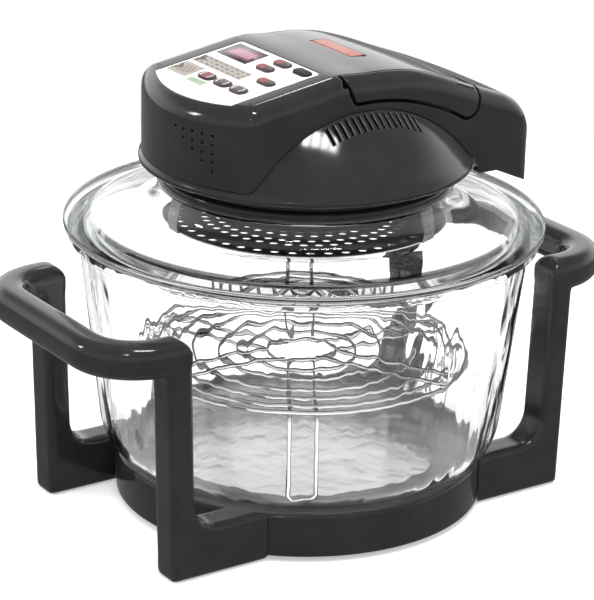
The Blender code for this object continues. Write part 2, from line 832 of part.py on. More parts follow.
def rack_wire(long_leg):
    """One bent wire: in from the inner ring, out to the edge, and round a leg or a hook."""
    half = RACK_PAIR_GAP / 2
    inner_x = math.sqrt((RACK_RING_R * RACK_RING_SHARES[0]) ** 2 - half ** 2)
    wire_z = RACK_Z - RACK_SINK if long_leg else RACK_Z + RACK_SINK
    leg_r = RACK_RING_R
    if long_leg:
        end_z = bowl_inside_z(leg_r + RACK_WIRE_R + FIT_GAP) + FIT_GAP + RACK_WIRE_R
        turn_sign = -1
    else:
        end_z = RACK_Z + RACK_HOOK_H
        turn_sign = 1
    bend = [(leg_r - RACK_BEND_R, wire_z),
            (leg_r - RACK_BEND_R * RACK_BEND_SHARE, wire_z + turn_sign * RACK_BEND_R * RACK_BEND_SHARE),
            (leg_r, wire_z + turn_sign * RACK_BEND_R)]
    corner = [(half, end_z - turn_sign * RACK_BEND_R),
              (half - RACK_BEND_R * RACK_BEND_SHARE, end_z - turn_sign * RACK_BEND_R * RACK_BEND_SHARE),
              (half - RACK_BEND_R, end_z)]
    side = [(inner_x, half, wire_z)] + [(x, half, z) for x, z in bend]
    side += [(leg_r, y, z) for y, z in corner]
    return side + [(x, -y, z) for x, y, z in side[::-1]]


def make_rack(parent):
    """Cooking rack: seven rings on six bent wires, three of them legs and three hooks."""
    edge = RACK_RING_SHARES[-1]
    rings = []
    for share, steps in zip(RACK_RING_SHARES, RACK_RING_STEPS):
        radius = RACK_RING_R * share
        path = [(x, y, RACK_Z) for x, y in arc((0, 0), radius, 0, 360, steps + 1)[:-1]]
        wire = RACK_EDGE_R if share == edge else RACK_WIRE_R
        rings.append(tube_mesh([path], wire, 0, cyclic=True))
    wires = []
    for index, place in enumerate(around(RACK_PAIRS, RACK_TURN)):
        path = [tuple(place @ Vector(point)) for point in rack_wire(index % 2 == 0)]
        wires.append(path)
    rack = add_part("wire_rack", gather(rings), finish("rack_wire", (0.7, 0.7, 0.7), 0.2, 1.0), parent)
    join(rack, tube_mesh(wires, RACK_WIRE_R, 0), "rack_legs")


# Lid


def make_lid_glass(parent):
    """The glass lid: a thick rim, a low shoulder and a neck for the head."""
    neck_centre = (LID_NECK_R + LID_NECK_FILLET, LID_NECK_TOP_Z)
    outer_neck = arc(neck_centre, LID_NECK_FILLET, 180, 270, 5)
    inner_neck = arc(neck_centre, LID_NECK_FILLET + LID_WALL, 270, 180, 5)
    spigot_r = bowl_wall_r(BOWL_TOP_Z, BOWL_WALL) - LID_SPIGOT_GAP
    profile = outer_neck + [
        (LID_R - LID_RIM_T, LID_RIM_TOP_Z + RIM_ROUND),
        (LID_R - RIM_ROUND, LID_RIM_TOP_Z),
        (LID_R, LID_RIM_TOP_Z - RIM_ROUND),
        (LID_R, LID_RIM_Z + RIM_ROUND),
        (LID_R - RIM_ROUND, LID_RIM_Z),
        (spigot_r, LID_RIM_Z),
        (spigot_r, LID_RIM_Z - LID_SPIGOT_H),
        (spigot_r - LID_SPIGOT_W, LID_RIM_Z - LID_SPIGOT_H),
        (spigot_r - LID_SPIGOT_W, LID_RIM_Z + LID_RIM_T / 2),
    ] + inner_neck
    glass = finish("lid_glass", (0.90, 0.93, 0.92), 0.05, alpha=0.3)
    turned_part("glass_lid", profile, glass, parent)


def make_collar(parent):
    """The black ring between the glass and the head."""
    profile = [
        (COLLAR_R - RIM_ROUND, COLLAR_TOP_Z),
        (COLLAR_R, COLLAR_TOP_Z - RIM_ROUND),
        (COLLAR_R, COLLAR_Z + RIM_ROUND),
        (COLLAR_R - RIM_ROUND, COLLAR_Z),
        (COLLAR_INNER_R, COLLAR_Z),
        (COLLAR_INNER_R, COLLAR_TOP_Z),
    ]
    turned_part("lid_collar", profile, black_plastic("collar_plastic"), parent)


def make_plates(parent):
    """The plate that carries the motor and the dished reflector over the heater."""
    plate = [
        (SHELL_NECK_R - SHELL_WALL - FIT_GAP, PLATE_TOP_Z),
        (SHELL_NECK_R - SHELL_WALL - FIT_GAP, PLATE_Z),
        (SHAFT_HOLE_R, PLATE_Z),
        (SHAFT_HOLE_R, PLATE_TOP_Z),
    ]
    turned_part("motor_plate", plate, sheet_steel("plate_steel"), parent)
    flange_r = REFLECTOR_R - REFLECTOR_FLANGE_W
    dish_r = flange_r - REFLECTOR_SLOPE_W
    dish = [
        (dish_r, REFLECTOR_TOP_Z + REFLECTOR_RISE),
        (flange_r, REFLECTOR_TOP_Z),
        (REFLECTOR_R, REFLECTOR_TOP_Z),
        (REFLECTOR_R, REFLECTOR_Z),
        (flange_r - PLATE_T / 2, REFLECTOR_Z),
        (dish_r - PLATE_T / 2, REFLECTOR_Z + REFLECTOR_RISE),
        (SHAFT_HOLE_R, REFLECTOR_Z + REFLECTOR_RISE),
        (SHAFT_HOLE_R, REFLECTOR_TOP_Z + REFLECTOR_RISE),
    ]
    turned_part("reflector_plate", dish, sheet_steel("reflector_steel"), parent)


def make_guard(parent):
    """The perforated guard under the heater, a shallow pan."""
    top_z = GUARD_Z + GUARD_T
    profile = [
        (0, top_z),
        (GUARD_R - GUARD_T, top_z),
        (GUARD_R - GUARD_T, top_z + GUARD_RIM_H),
        (GUARD_R, top_z + GUARD_RIM_H),
        (GUARD_R, top_z),
        (GUARD_R - GUARD_T, GUARD_Z),
        (0, GUARD_Z),
    ]
    guard = turned_part("heater_guard", profile, sheet_steel("guard_steel"), parent, closed=False)
    holes = []
    for share, count in zip(GUARD_ROW_SHARES, GUARD_ROW_HOLES):
        for place in around(count):
            middle = place @ Matrix.Translation((GUARD_R * share, 0, 0))
            holes.append(cylinder(GUARD_HOLE_R, GUARD_Z - CUT_OVERRUN / 2, top_z + CUT_OVERRUN / 2,
                                  GUARD_HOLE_STEPS, middle))
    cut(guard, gather(holes), "guard_holes")


def make_guard_brackets(parent):
    """Bent straps that hang the guard from the reflector."""
    low = GUARD_Z - GUARD_T / 2
    inner = GUARD_R + FIT_GAP
    bend_z = GUARD_Z + GUARD_T + GUARD_RIM_H + BRACKET_T
    top_r = inner - BRACKET_T * 3
    top_z = REFLECTOR_Z - FIT_GAP
    outline = [(inner, low), (inner + BRACKET_T, low), (inner + BRACKET_T, bend_z),
               (top_r + BRACKET_T, top_z), (top_r, top_z), (inner, bend_z)]
    tin = sheet_steel("bracket_steel")
    upright = Matrix.Rotation(math.radians(90), 4, "X")
    for index, place in enumerate(around(BRACKET_COUNT, -BRACKET_TURN)):
        strap = slab(outline, -BRACKET_W / 2, BRACKET_W / 2, place @ upright)
        add_part(f"guard_bracket_{index + 1}", strap, tin, parent)


def make_heater(parent):
    """The ring-shaped halogen tube and the two ceramic blocks that hold its ends."""
    quartz = finish("tube_quartz", (0.95, 0.80, 0.65), 0.08)
    ceramic = finish("holder_ceramic", (0.85, 0.83, 0.78), 0.6)
    first = 90 + TUBE_OPEN_ANGLE / 2
    last = 450 - TUBE_OPEN_ANGLE / 2
    run = HOLDER_LENGTH / 2 + TUBE_R / 2
    skip = math.degrees(math.atan2(run, TUBE_RING_R)) * 2
    ring = arc((0, 0), TUBE_RING_R, first + skip, last - skip, TUBE_POINTS)
    path = [(x, y, TUBE_Z) for x, y in ring]
    for angle, sign in ((first, 1), (last, -1)):
        place = Matrix.Rotation(math.radians(angle), 4, "Z")
        ends = [tuple(place @ Vector((TUBE_RING_R, sign * y, TUBE_Z))) for y in (0, run)]
        path = ends + path if sign > 0 else path + ends[::-1]
    tube = add_part("halogen_tube", tube_mesh([path], TUBE_R, 2), quartz, parent)
    shade_round(tube)
    top_z = REFLECTOR_Z + REFLECTOR_RISE - FIT_GAP
    bore = cylinder(TUBE_R + HOLDER_SLACK, -FIT_GAP, HOLDER_LENGTH, 10)
    for index, side in enumerate((-1, 1)):
        angle = 90 + side * TUBE_OPEN_ANGLE / 2
        place = Matrix.Rotation(math.radians(angle), 4, "Z")
        block = box((TUBE_RING_R - HOLDER_W / 2, -HOLDER_LENGTH / 2, TUBE_Z - HOLDER_H / 2),
                    (TUBE_RING_R + HOLDER_W / 2, HOLDER_LENGTH / 2, top_z), place)
        name = f"tube_holder_{index + 1}"
        holder = add_part(name, block, ceramic, parent)
        hole = bore.copy()
        hole.transform(place @ Matrix.Translation((TUBE_RING_R, 0, TUBE_Z))
                       @ Matrix.Rotation(math.radians(-90 * side), 4, "X"))
        cut(holder, hole, name + "_bore")


def make_motor(parent):
    """The fan motor: a can with a boss, two fixing lugs and a bore for the shaft."""
    steel = sheet_steel("motor_steel")
    boss_z = MOTOR_Z + MOTOR_H
    profile = [
        (MOTOR_BOSS_R, boss_z + MOTOR_BOSS_H),
        (MOTOR_BOSS_R, boss_z),
        (MOTOR_R - RIM_ROUND, boss_z),
        (MOTOR_R, boss_z - RIM_ROUND),
        (MOTOR_R, MOTOR_Z),
        (SHAFT_R + FIT_GAP, MOTOR_Z),
        (SHAFT_R + FIT_GAP, boss_z + MOTOR_BOSS_H),
    ]
    motor = turned_part("fan_motor", profile, steel, parent, steps=24)
    for side in (-1, 1):
        inner = side * MOTOR_R * MOTOR_LUG_ROOT_SHARE
        outer = side * MOTOR_LUG_R
        lug = box((min(inner, outer), -MOTOR_LUG_W / 2, MOTOR_Z),
                  (max(inner, outer), MOTOR_LUG_W / 2, MOTOR_Z + MOTOR_LUG_T))
        join(motor, lug, "motor_lug_left" if side < 0 else "motor_lug_right")


def make_fans(parent):
    """The motor's shaft with the oven fan below and the cooling fan above."""
    steel = sheet_steel("shaft_steel")
    alloy = finish("fan_alloy", (0.75, 0.75, 0.76), 0.35, 1.0)
    hub_top = FAN_Z + FAN_HUB_H
    shaft_low = FAN_Z + HUB_FLOOR + FIT_GAP
    shaft_high = COOLER_Z + FAN_HUB_H - HUB_FLOOR - FIT_GAP
    add_part("motor_shaft", cylinder(SHAFT_R, shaft_low, shaft_high, 12), steel, parent)
    fan = add_part("circulation_fan", cylinder(FAN_HUB_R, FAN_Z, hub_top, 16), alloy, parent)
    disc = cylinder(FAN_R, hub_top - FAN_DISC_T * 2, hub_top - FAN_DISC_T, 32)
    join(fan, disc, "fan_disc")
    blades = [box((FAN_HUB_R - FAN_BLADE_T, -FAN_BLADE_T / 2, hub_top - FAN_DISC_T - FAN_BLADE_H),
                  (FAN_R - FAN_BLADE_T, FAN_BLADE_T / 2, hub_top - FAN_DISC_T * 1.5), place)
              for place in around(FAN_BLADES)]
    join(fan, gather(blades), "fan_blades")
    cut(fan, cylinder(SHAFT_R + FIT_GAP, shaft_low - FIT_GAP, hub_top + CUT_OVERRUN, 12), "fan_bore")
    hub = cylinder(FAN_HUB_R, COOLER_Z, COOLER_Z + FAN_HUB_H, 16)
    cooler = add_part("cooling_fan", hub, alloy, parent)
    tilt = Matrix.Rotation(math.radians(COOLER_PITCH), 4, "X")
    middle = Matrix.Translation((0, 0, COOLER_Z + FAN_HUB_H / 2))
    paddle_w = FAN_HUB_H * COOLER_PADDLE_SHARE
    paddles = [box((FAN_HUB_R - FAN_BLADE_T, -paddle_w, -FAN_BLADE_T / 2),
                   (COOLER_R, paddle_w, FAN_BLADE_T / 2), place @ middle @ tilt)
               for place in around(COOLER_BLADES)]
    join(cooler, gather(paddles), "cooler_paddles")
    cut(cooler, cylinder(SHAFT_R + FIT_GAP, COOLER_Z - CUT_OVERRUN,
                         shaft_high + FIT_GAP, 12), "cooler_bore")


# Head


def dome_arc(grow_by=0.0, count=5):
    """The dome's outer surface from its top edge down to its foot."""
    points = arc_between((DOME_TOP_R, DOME_TOP_Z), (DOME_FOOT_R, DOME_FOOT_Z), DOME_ARC_R, count)
    result = []
    for index, point in enumerate(points):
        after = Vector(points[min(index + 1, count - 1)])
        before = Vector(points[max(index - 1, 0)])
        along = (after - before).normalized()
        normal = Vector((-along.y, along.x))
        result.append(tuple(Vector(point) + normal * grow_by))
    return result


def make_lower_shell(parent):
    """The dome of the head: a turned shell with a neck below and vents in its sides."""
    neck_in = SHELL_NECK_R - SHELL_WALL
    bottom = PLATE_Z
    profile = [(DOME_OPENING_R, DOME_TOP_Z)] + dome_arc() + [
        (SHELL_LIP_R - RIM_ROUND, SHELL_LIP_Z + SHELL_LIP_T),
        (SHELL_LIP_R, SHELL_LIP_Z + SHELL_LIP_T - RIM_ROUND),
        (SHELL_LIP_R, SHELL_LIP_Z),
        (SHELL_NECK_R, SHELL_LIP_Z),
        (SHELL_NECK_R, bottom),
        (neck_in, bottom),
        (neck_in, SHELL_LIP_Z + SHELL_WALL),
    ] + dome_arc(-SHELL_WALL)[::-1] + [(DOME_OPENING_R, DOME_TOP_Z - SHELL_WALL)]
    shell = turned_part("head_lower_shell", profile, black_plastic("shell_plastic"), parent)
    slots = []
    for step in range(VENT_COUNT):
        y = VENT_FIRST_Y + (VENT_LAST_Y - VENT_FIRST_Y) * step / (VENT_COUNT - 1)
        slots.append(box((VENT_INNER_X, y - VENT_W / 2, DOME_FOOT_Z),
                         (VENT_OUTER_X, y + VENT_W / 2, DOME_TOP_Z + CUT_OVERRUN)))
    cut(shell, both_sides(gather(slots)), "shell_vents")
    return shell


def dome_cutter(name, gap):
    """The dome and all below it as a solid tool, larger by a gap."""
    lip_top = SHELL_LIP_Z + SHELL_LIP_T + gap
    profile = [(0, DOME_TOP_Z + gap), (DOME_TOP_R, DOME_TOP_Z + gap)] + dome_arc(gap)[1:] + [
        (SHELL_LIP_R + gap, lip_top),
        (SHELL_LIP_R + gap, COVER_FORM_FLOOR_Z - CUT_OVERRUN),
        (0, COVER_FORM_FLOOR_Z - CUT_OVERRUN),
    ]
    return turned_cutter(name, profile)


def back_height(y):
    """Height of the cover's back behind its crest, a smooth curve through the shares."""
    length = COVER_REAR_Y - CREST_Y
    drop = CREST_Z - REAR_EDGE_Z
    table = [(CREST_Y + length * a, CREST_Z - drop * b) for a, b in BACK_SHARES]
    slopes = [0.0]
    for index in range(1, len(table) - 1):
        slopes.append((table[index + 1][1] - table[index - 1][1])
                      / (table[index + 1][0] - table[index - 1][0]))
    slopes.append((table[-1][1] - table[-2][1]) / (table[-1][0] - table[-2][0]))
    for index in range(len(table) - 1):
        (y0, z0), (y1, z1) = table[index], table[index + 1]
        if y <= y1 or index == len(table) - 2:
            span = y1 - y0
            t = (y - y0) / span
            return (z0 * (2 * t ** 3 - 3 * t ** 2 + 1) + z1 * (3 * t ** 2 - 2 * t ** 3)
                    + slopes[index] * span * (t ** 3 - 2 * t ** 2 + t)
                    + slopes[index + 1] * span * (t ** 3 - t ** 2))


def crown_height(y):
    """Height between the panel's plane and the crest."""
    span = CREST_Y - PANEL_REAR_Y
    t = (y - PANEL_REAR_Y) / span
    return (PANEL_REAR_Z * (2 * t ** 3 - 3 * t ** 2 + 1) + CREST_Z * (3 * t ** 2 - 2 * t ** 3)
            + PANEL_SLOPE * span * (t ** 3 - 2 * t ** 2 + t))


def rear_drop(y):
    """How far the rear of the cover is rounded off."""
    into = (y - (COVER_REAR_Y - COVER_REAR_ROUND_L)) / COVER_REAR_ROUND_L
    if into <= 0:
        return 0.0
    return COVER_REAR_ROUND_H * (1 - math.sqrt(max(1 - into ** 2, 0.0)))


def top_height(y):
    """Height of the cover's top along its middle."""
    if y <= PANEL_REAR_Y:
        return PANEL_REAR_Z + (y - PANEL_REAR_Y) * PANEL_SLOPE
    if y <= CREST_Y:
        return crown_height(y)
    return back_height(y) - rear_drop(y)


def crown_drop(x, y):
    """How far the top behind the panel falls away sideways."""
    t = min(max((y - PANEL_REAR_Y) / (CREST_Y - PANEL_REAR_Y), 0.0), 1.0)
    return CROWN_DROP * t * t * (3 - 2 * t) * (x / COVER_HALF_W) ** 2


def half_plan(inset):
    """Half the cover's plan from the front middle to the rear middle, moved in by an inset."""
    corner_r = max(COVER_FRONT_CORNER - inset, COVER_MIN_CORNER)
    corner_x = COVER_HALF_W - inset - corner_r
    corner_y = -math.sqrt((COVER_FRONT_R - inset - corner_r) ** 2 - corner_x ** 2)
    lean = math.degrees(math.atan2(corner_y, corner_x))
    front = arc((0, 0), COVER_FRONT_R - inset, -90, lean, 6)
    corner = arc((corner_x, corner_y), corner_r, lean, 0, 4)[1:]
    rear_r = max(COVER_REAR_CORNER - inset, COVER_MIN_CORNER)
    rear_x = COVER_HALF_W - inset - rear_r
    rear_y = COVER_REAR_Y - COVER_REAR_BOW - inset - rear_r
    side = []
    for step in range(1, COVER_SIDE_STATIONS):
        y = corner_y + (rear_y - corner_y) * step / COVER_SIDE_STATIONS
        side.append((COVER_HALF_W - inset, y))
    rear = arc((rear_x, rear_y), rear_r, 0, 90, 5)
    middle = [(0, COVER_REAR_Y - inset)]
    return front + corner + side + rear + middle


def cover_block(inset, ceiling, shoulder):
    """A block of the cover's plan under a ceiling, lofted from nested outlines of the plan."""
    rings = []
    levels = 5 if shoulder > 0 else 1
    for level in range(levels):
        turn_angle = math.pi / 2 * level / max(levels - 1, 1)
        extra = shoulder * (1 - math.cos(turn_angle))
        drop = shoulder * (1 - math.sin(turn_angle))
        crowned = 1 if shoulder > 0 else 0
        rings.append([(x, y, ceiling(y) - drop - crowned * crown_drop(x, y))
                      for x, y in half_plan(inset + extra)])
    wall = [(x, y, COVER_FORM_FLOOR_Z) for x, y in half_plan(inset)]
    rings.insert(0, wall)
    shape = bmesh.new()
    rows = []
    for ring in rings:
        right = [shape.verts.new(point) for point in ring]
        left = [shape.verts.new((-x, y, z)) for x, y, z in ring[1:-1]]
        rows.append(right + left[::-1])
    count = len(rows[0])
    for low, high in zip(rows, rows[1:]):
        for index in range(count):
            after = (index + 1) % count
            shape.faces.new((low[index], low[after], high[after], high[index]))
    last = len(rings[0]) - 1
    top = rows[-1]
    columns = []
    for index in range(last + 1):
        right, left = top[index], top[(count - index) % count]
        x, y, z = right.co
        if right == left:
            columns.append([right] * (len(CROWN_SHARES) + 2))
        elif shoulder > 0:
            between = [shape.verts.new((x * share, y, ceiling(y) - crown_drop(x * share, y)))
                       for share in CROWN_SHARES]
            columns.append([right] + between + [left])
        else:
            columns.append([right] + [right] * len(CROWN_SHARES) + [left])
    for here, after in zip(columns, columns[1:]):
        for step in range(len(CROWN_SHARES) + 1):
            corners = list(dict.fromkeys([here[step], after[step], after[step + 1], here[step + 1]]))
            if len(corners) > 2:
                shape.faces.new(corners)
    shape.faces.new(rows[0][::-1])
    bmesh.ops.recalc_face_normals(shape, faces=shape.faces)
    mesh = bpy.data.meshes.new("cover_block")
    shape.to_mesh(mesh)
    shape.free()
    return mesh


def arm_outline():
    """Side view of the carry handle's arm, open to above the cover."""
    pivot = (PIVOT_Y, PIVOT_Z)
    middle = arc(pivot, ARM_REACH_R - ARM_END_R, ARM_END_ANGLE, 0, 2)[0]
    corner = arc(middle, ARM_END_R, ARM_END_ANGLE - 90, ARM_END_ANGLE, 5)
    end = corner + arc(pivot, ARM_REACH_R, ARM_END_ANGLE, -ARM_END_ANGLE, 6)[1:]
    front = rounded([(ARM_FRONT_TOP_Y, end[-1][1]), (ARM_FRONT_TOP_Y, top_height(ARM_FRONT_TOP_Y)),
                     (ARM_FRONT_LOW_Y, ARM_FRONT_LOW_Z), (ARM_MID_Y, ARM_MID_Z)], ARM_CORNER_R)[3:9]
    belly = arc_between((ARM_FRONT_LOW_Y + ARM_CORNER_R, ARM_FRONT_LOW_Z - ARM_CORNER_R / 6),
                        end[0], ARM_BELLY_R, 7)[1:-1]
    return [(ARM_FRONT_TOP_Y, end[-1][1])] + front + belly + end


def grip_frame():
    """A frame on the cover's back, level with its slope, where the bar lies."""
    step = GRIP_HALF_W
    slope = math.atan2(top_height(GRIP_Y + step) - top_height(GRIP_Y - step), 2 * step)
    return (Matrix.Translation((0, GRIP_Y, top_height(GRIP_Y)))
            @ Matrix.Rotation(slope, 4, "X"))


def grip_outline(extra=0.0):
    """Section of the bar in the grip's frame, larger by an extra width."""
    outline = oblong((0, GRIP_RISE), GRIP_HALF_W, GRIP_HALF_T, GRIP_EDGE_R)
    return grow(outline, extra) if extra else outline


def pivot_frame():
    """The carry handle's pivot, with local Z along X."""
    return Matrix.Translation((0, PIVOT_Y, PIVOT_Z)) @ ALONG_X


def peg_hole(radius, low, high):
    """A vertical round bar under the middle of the grip."""
    return cylinder(radius, low, high, 12, Matrix.Translation((0, GRIP_Y, 0)))


def switch_top():
    """Depth of the safety switch under the grip's frame."""
    return COVER_ROOF + GRIP_HALF_T - GRIP_RISE + TROUGH_GAP + FIT_GAP


def trough_drop(y):
    """How much deeper the cover's ceiling lies under the bar's trough."""
    reach = GRIP_HALF_W + TROUGH_GAP + COVER_WALL
    if abs(y - GRIP_Y) > reach:
        return 0.0
    return GRIP_HALF_T - GRIP_RISE + TROUGH_GAP


def make_carry_handle(parent):
    """The folding carry handle."""
    handle = add_part("carry_handle", cover_block(0.0, top_height, COVER_SHOULDER_R),
                      black_plastic("handle_plastic"), parent)
    wide = COVER_HALF_W + CUT_OVERRUN
    keep_inside(handle, both_sides(slab(arm_outline(), ARM_INNER_X, wide, ALONG_X)), "arm_shapes")
    grip = add_cutter("grip_bar", slab(grip_outline(), -GRIP_HALF_L, GRIP_HALF_L, grip_frame() @ ALONG_X))
    combine(handle, grip, "UNION")
    deep = ARM_INNER_X + PIN_DEPTH
    bore = cylinder(PIN_R + FIT_GAP, ARM_INNER_X - CUT_OVERRUN, deep, 12, pivot_frame())
    cut(handle, both_sides(bore), "arm_bores")
    peg_low = top_height(GRIP_Y) - switch_top() + FIT_GAP * 2
    join(handle, peg_hole(PEG_R, peg_low, top_height(GRIP_Y)), "switch_peg")
    shade_round(handle)


def make_handle_pins(parent):
    """Headed pins pushed outwards through the cover's ribs into the arms."""
    steel = sheet_steel("pin_steel")
    inner_face = COVER_HALF_W - COVER_SIDE_RIB
    for name, side in (("handle_pin_right", 1), ("handle_pin_left", -1)):
        place = Matrix.Diagonal((side, 1, 1, 1)) @ pivot_frame()
        head = cylinder(PIN_HEAD_R, inner_face - FIT_GAP - PIN_HEAD_T, inner_face - FIT_GAP, 14, place)
        body = cylinder(PIN_R, inner_face - FIT_GAP - PIN_HEAD_T / 2,
                        ARM_INNER_X + PIN_DEPTH - FIT_GAP, 12, place)
        for mesh in (head, body):
            tidy_mesh(mesh)
        pin = add_part(name, head, steel, parent)
        join(pin, body, name + "_body")


def panel_frame():
    """A frame on the sloping panel: X across, Y up the slope, Z out of the panel."""
    return (Matrix.Translation((0, PANEL_REAR_Y, PANEL_REAR_Z))
            @ Matrix.Rotation(PANEL_TILT, 4, "X"))


def up_slope(y):
    """Distance along the panel of a place given by its Y."""
    return (y - PANEL_REAR_Y) / math.cos(PANEL_TILT)


def panel_outline(extra=0.0):
    """Outline of the keypad plate in the panel's frame; its front edge is an arc."""
    half = PANEL_HALF_W
    lean = math.degrees(math.acos(half / PANEL_FRONT_R))
    front = [(x, up_slope(y)) for x, y in arc((0, 0), PANEL_FRONT_R, -180 + lean, -lean, 11)]
    rear = rounded([(half, front[-1][1]), (half, 0), (-half, 0), (-half, front[0][1])],
                   PANEL_CORNER)[3:9]
    outline = front + rear
    return grow(outline, extra) if extra else outline


def key_outline(size, extra):
    """Outline of a key about its own middle."""
    return oblong((0, 0), size[0] + extra, size[1] + extra, size[1] + extra)


def key_frame(place):
    """A key's frame on the panel."""
    return panel_frame() @ Matrix.Translation((place[0], up_slope(place[1]), 0))


def window_outline(extra=0.0):
    """Outline of the display's window in the panel's frame."""
    return oblong((WINDOW_X, up_slope(WINDOW_Y)), WINDOW_HALF_L + extra, WINDOW_HALF_W + extra,
                  RIM_ROUND, 2)


def boss_places():
    """Corners of the control board where its bosses stand, in the panel's frame."""
    middle_y = up_slope((PANEL_REAR_Y + PANEL_FRONT_Y) / 2)
    across = BOARD_HALF_L - BOSS_INSET
    along = BOARD_HALF_W - BOSS_INSET
    return [(x, middle_y + y) for x in (-across, across) for y in (-along, along)]


def make_top_cover(parent):
    """The arched top cover of the head, hollow, with pockets for the carry handle."""
    cover = add_part("head_top_cover", cover_block(0.0, top_height, COVER_SHOULDER_R),
                     black_plastic("cover_plastic"), parent)
    wide = COVER_HALF_W + CUT_OVERRUN
    deep = COVER_FORM_FLOOR_Z - CUT_OVERRUN
    far_front = -COVER_FRONT_R - CUT_OVERRUN
    far_rear = COVER_REAR_Y + CUT_OVERRUN
    underside = [(far_front, deep), (far_rear, deep), (far_rear, TAIL_TIP_Z), (COVER_REAR_Y, TAIL_TIP_Z),
                 (TAIL_BEND_Y, TAIL_Z), (TAIL_START_Y, TAIL_Z),
                 (TAIL_START_Y - (COVER_FRONT_Z - TAIL_Z) / 2, COVER_FRONT_Z), (far_front, COVER_FRONT_Z)]
    cut(cover, slab(underside, -wide, wide, ALONG_X), "cover_underside")

    def high_ceiling(y):
        return top_height(y) - COVER_ROOF - trough_drop(y)

    def low_ceiling(y):
        pocket = min(ARM_FRONT_LOW_Z, ARM_MID_Z, ARM_REAR_LOW_Z) - POCKET_GAP - COVER_WALL
        return min(top_height(y) - COVER_SHOULDER_R - COVER_WALL, pocket)

    cut(cover, cover_block(COVER_SIDE_RIB, high_ceiling, 0.0), "upper_hollow")
    cut(cover, cover_block(COVER_WALL, low_ceiling, 0.0), "lower_hollow")
    bosses = [cylinder(BOSS_R, -BOARD_DEPTH + FIT_GAP, -COVER_ROOF + COVER_WALL / 2, 8,
                       panel_frame() @ Matrix.Translation((x, y, 0))) for x, y in boss_places()]
    join(cover, gather(bosses), "board_bosses")
    combine(cover, dome_cutter("dome_space", FIT_GAP), "DIFFERENCE")
    pocket = slab(grow(arm_outline(), POCKET_GAP), ARM_INNER_X - POCKET_SIDE_GAP, wide, ALONG_X)
    cut(cover, both_sides(pocket), "arm_pockets")
    relief = cylinder(RELIEF_R, ARM_INNER_X - POCKET_SIDE_GAP, RELIEF_OUTER_X, 20, pivot_frame())
    cut(cover, both_sides(tidy_mesh(relief)), "arm_reliefs")
    rim = cylinder(RELIEF_RIM_R, RELIEF_OUTER_X - POCKET_SIDE_GAP, wide, 20, pivot_frame())
    cut(cover, both_sides(tidy_mesh(rim)), "arm_relief_rims")
    trough = slab(grip_outline(TROUGH_GAP), -ARM_INNER_X, ARM_INNER_X, grip_frame() @ ALONG_X)
    cut(cover, trough, "grip_trough")
    cut(cover, peg_hole(PEG_R + PEG_SLACK, top_height(GRIP_Y) - switch_top() - CUT_OVERRUN,
                        top_height(GRIP_Y)), "peg_hole")
    pin_hole = cylinder(PIN_R + FIT_GAP, COVER_HALF_W - COVER_SIDE_RIB - CUT_OVERRUN / 2,
                        ARM_INNER_X, 12, pivot_frame())
    cut(cover, both_sides(tidy_mesh(pin_hole)), "pin_holes")
    recess = slab(panel_outline(FIT_GAP), -PANEL_RECESS, CUT_OVERRUN, panel_frame())
    cut(cover, recess, "panel_recess")
    holes = [slab(key_outline(place[2], KEY_SLACK + KEY_FLANGE), -COVER_ROOF * 2, 0, key_frame(place))
             for place in KEY_PLACES.values()]
    cut(cover, gather(holes), "key_holes")
    badge = box((-BADGE_HALF_L - FIT_GAP, BADGE_Y - BADGE_HALF_W - FIT_GAP, badge_floor()),
                (BADGE_HALF_L + FIT_GAP, BADGE_Y + BADGE_HALF_W + FIT_GAP, CREST_Z + CUT_OVERRUN))
    cut(cover, badge, "badge_recess")
    cut(cover, gather(dot_holes()), "dot_holes")
    bushing = cylinder(BUSHING_NECK_R + FIT_GAP, COVER_REAR_Y - COVER_REAR_CORNER,
                       COVER_REAR_Y + CUT_OVERRUN, 16, bushing_frame())
    cut(cover, bushing, "bushing_hole")
    shade_round(cover)


def badge_floor():
    """Height of the floor of the badge's recess."""
    return top_height(BADGE_Y + BADGE_HALF_W) - BADGE_SINK - FIT_GAP


def dot_holes():
    """Small round holes through the front face."""
    holes = []
    lie_down = Matrix.Rotation(math.radians(90), 4, "X")
    for column in range(DOT_COLUMNS):
        x = DOT_FIRST_X - column * DOT_PITCH_X
        start = math.sqrt(COVER_FRONT_R ** 2 - x ** 2)
        for row in range(DOT_COLUMNS - column):
            place = Matrix.Translation((x, 0, DOT_TOP_Z - row * DOT_PITCH_Z)) @ lie_down
            holes.append(cylinder(DOT_R, start - COVER_WALL * 2, start + CUT_OVERRUN,
                                  DOT_STEPS, place))
    return holes


def bushing_frame():
    """The cord bushing's axis, pointing rearwards."""
    return Matrix.Translation((0, 0, BUSHING_Z)) @ Matrix.Rotation(math.radians(-90), 4, "X")


def make_bushing(parent):
    """Rubber bushing where the supply lead enters the tail."""
    face = COVER_REAR_Y + FIT_GAP
    flange = cylinder(BUSHING_FLANGE_R, face, face + BUSHING_FLANGE_T, 16, bushing_frame())
    neck = cylinder(BUSHING_NECK_R, COVER_REAR_Y - COVER_WALL, face + BUSHING_FLANGE_T / 2, 16,
                    bushing_frame())
    bushing = add_part("cord_bushing", flange, finish("bushing_rubber", (0.03, 0.03, 0.03), 0.7), parent)
    join(bushing, neck, "bushing_neck")
    bore = cylinder(BUSHING_BORE_R, COVER_REAR_Y - COVER_WALL - CUT_OVERRUN,
                    face + BUSHING_FLANGE_T + CUT_OVERRUN, 12, bushing_frame())
    cut(bushing, bore, "bushing_bore")


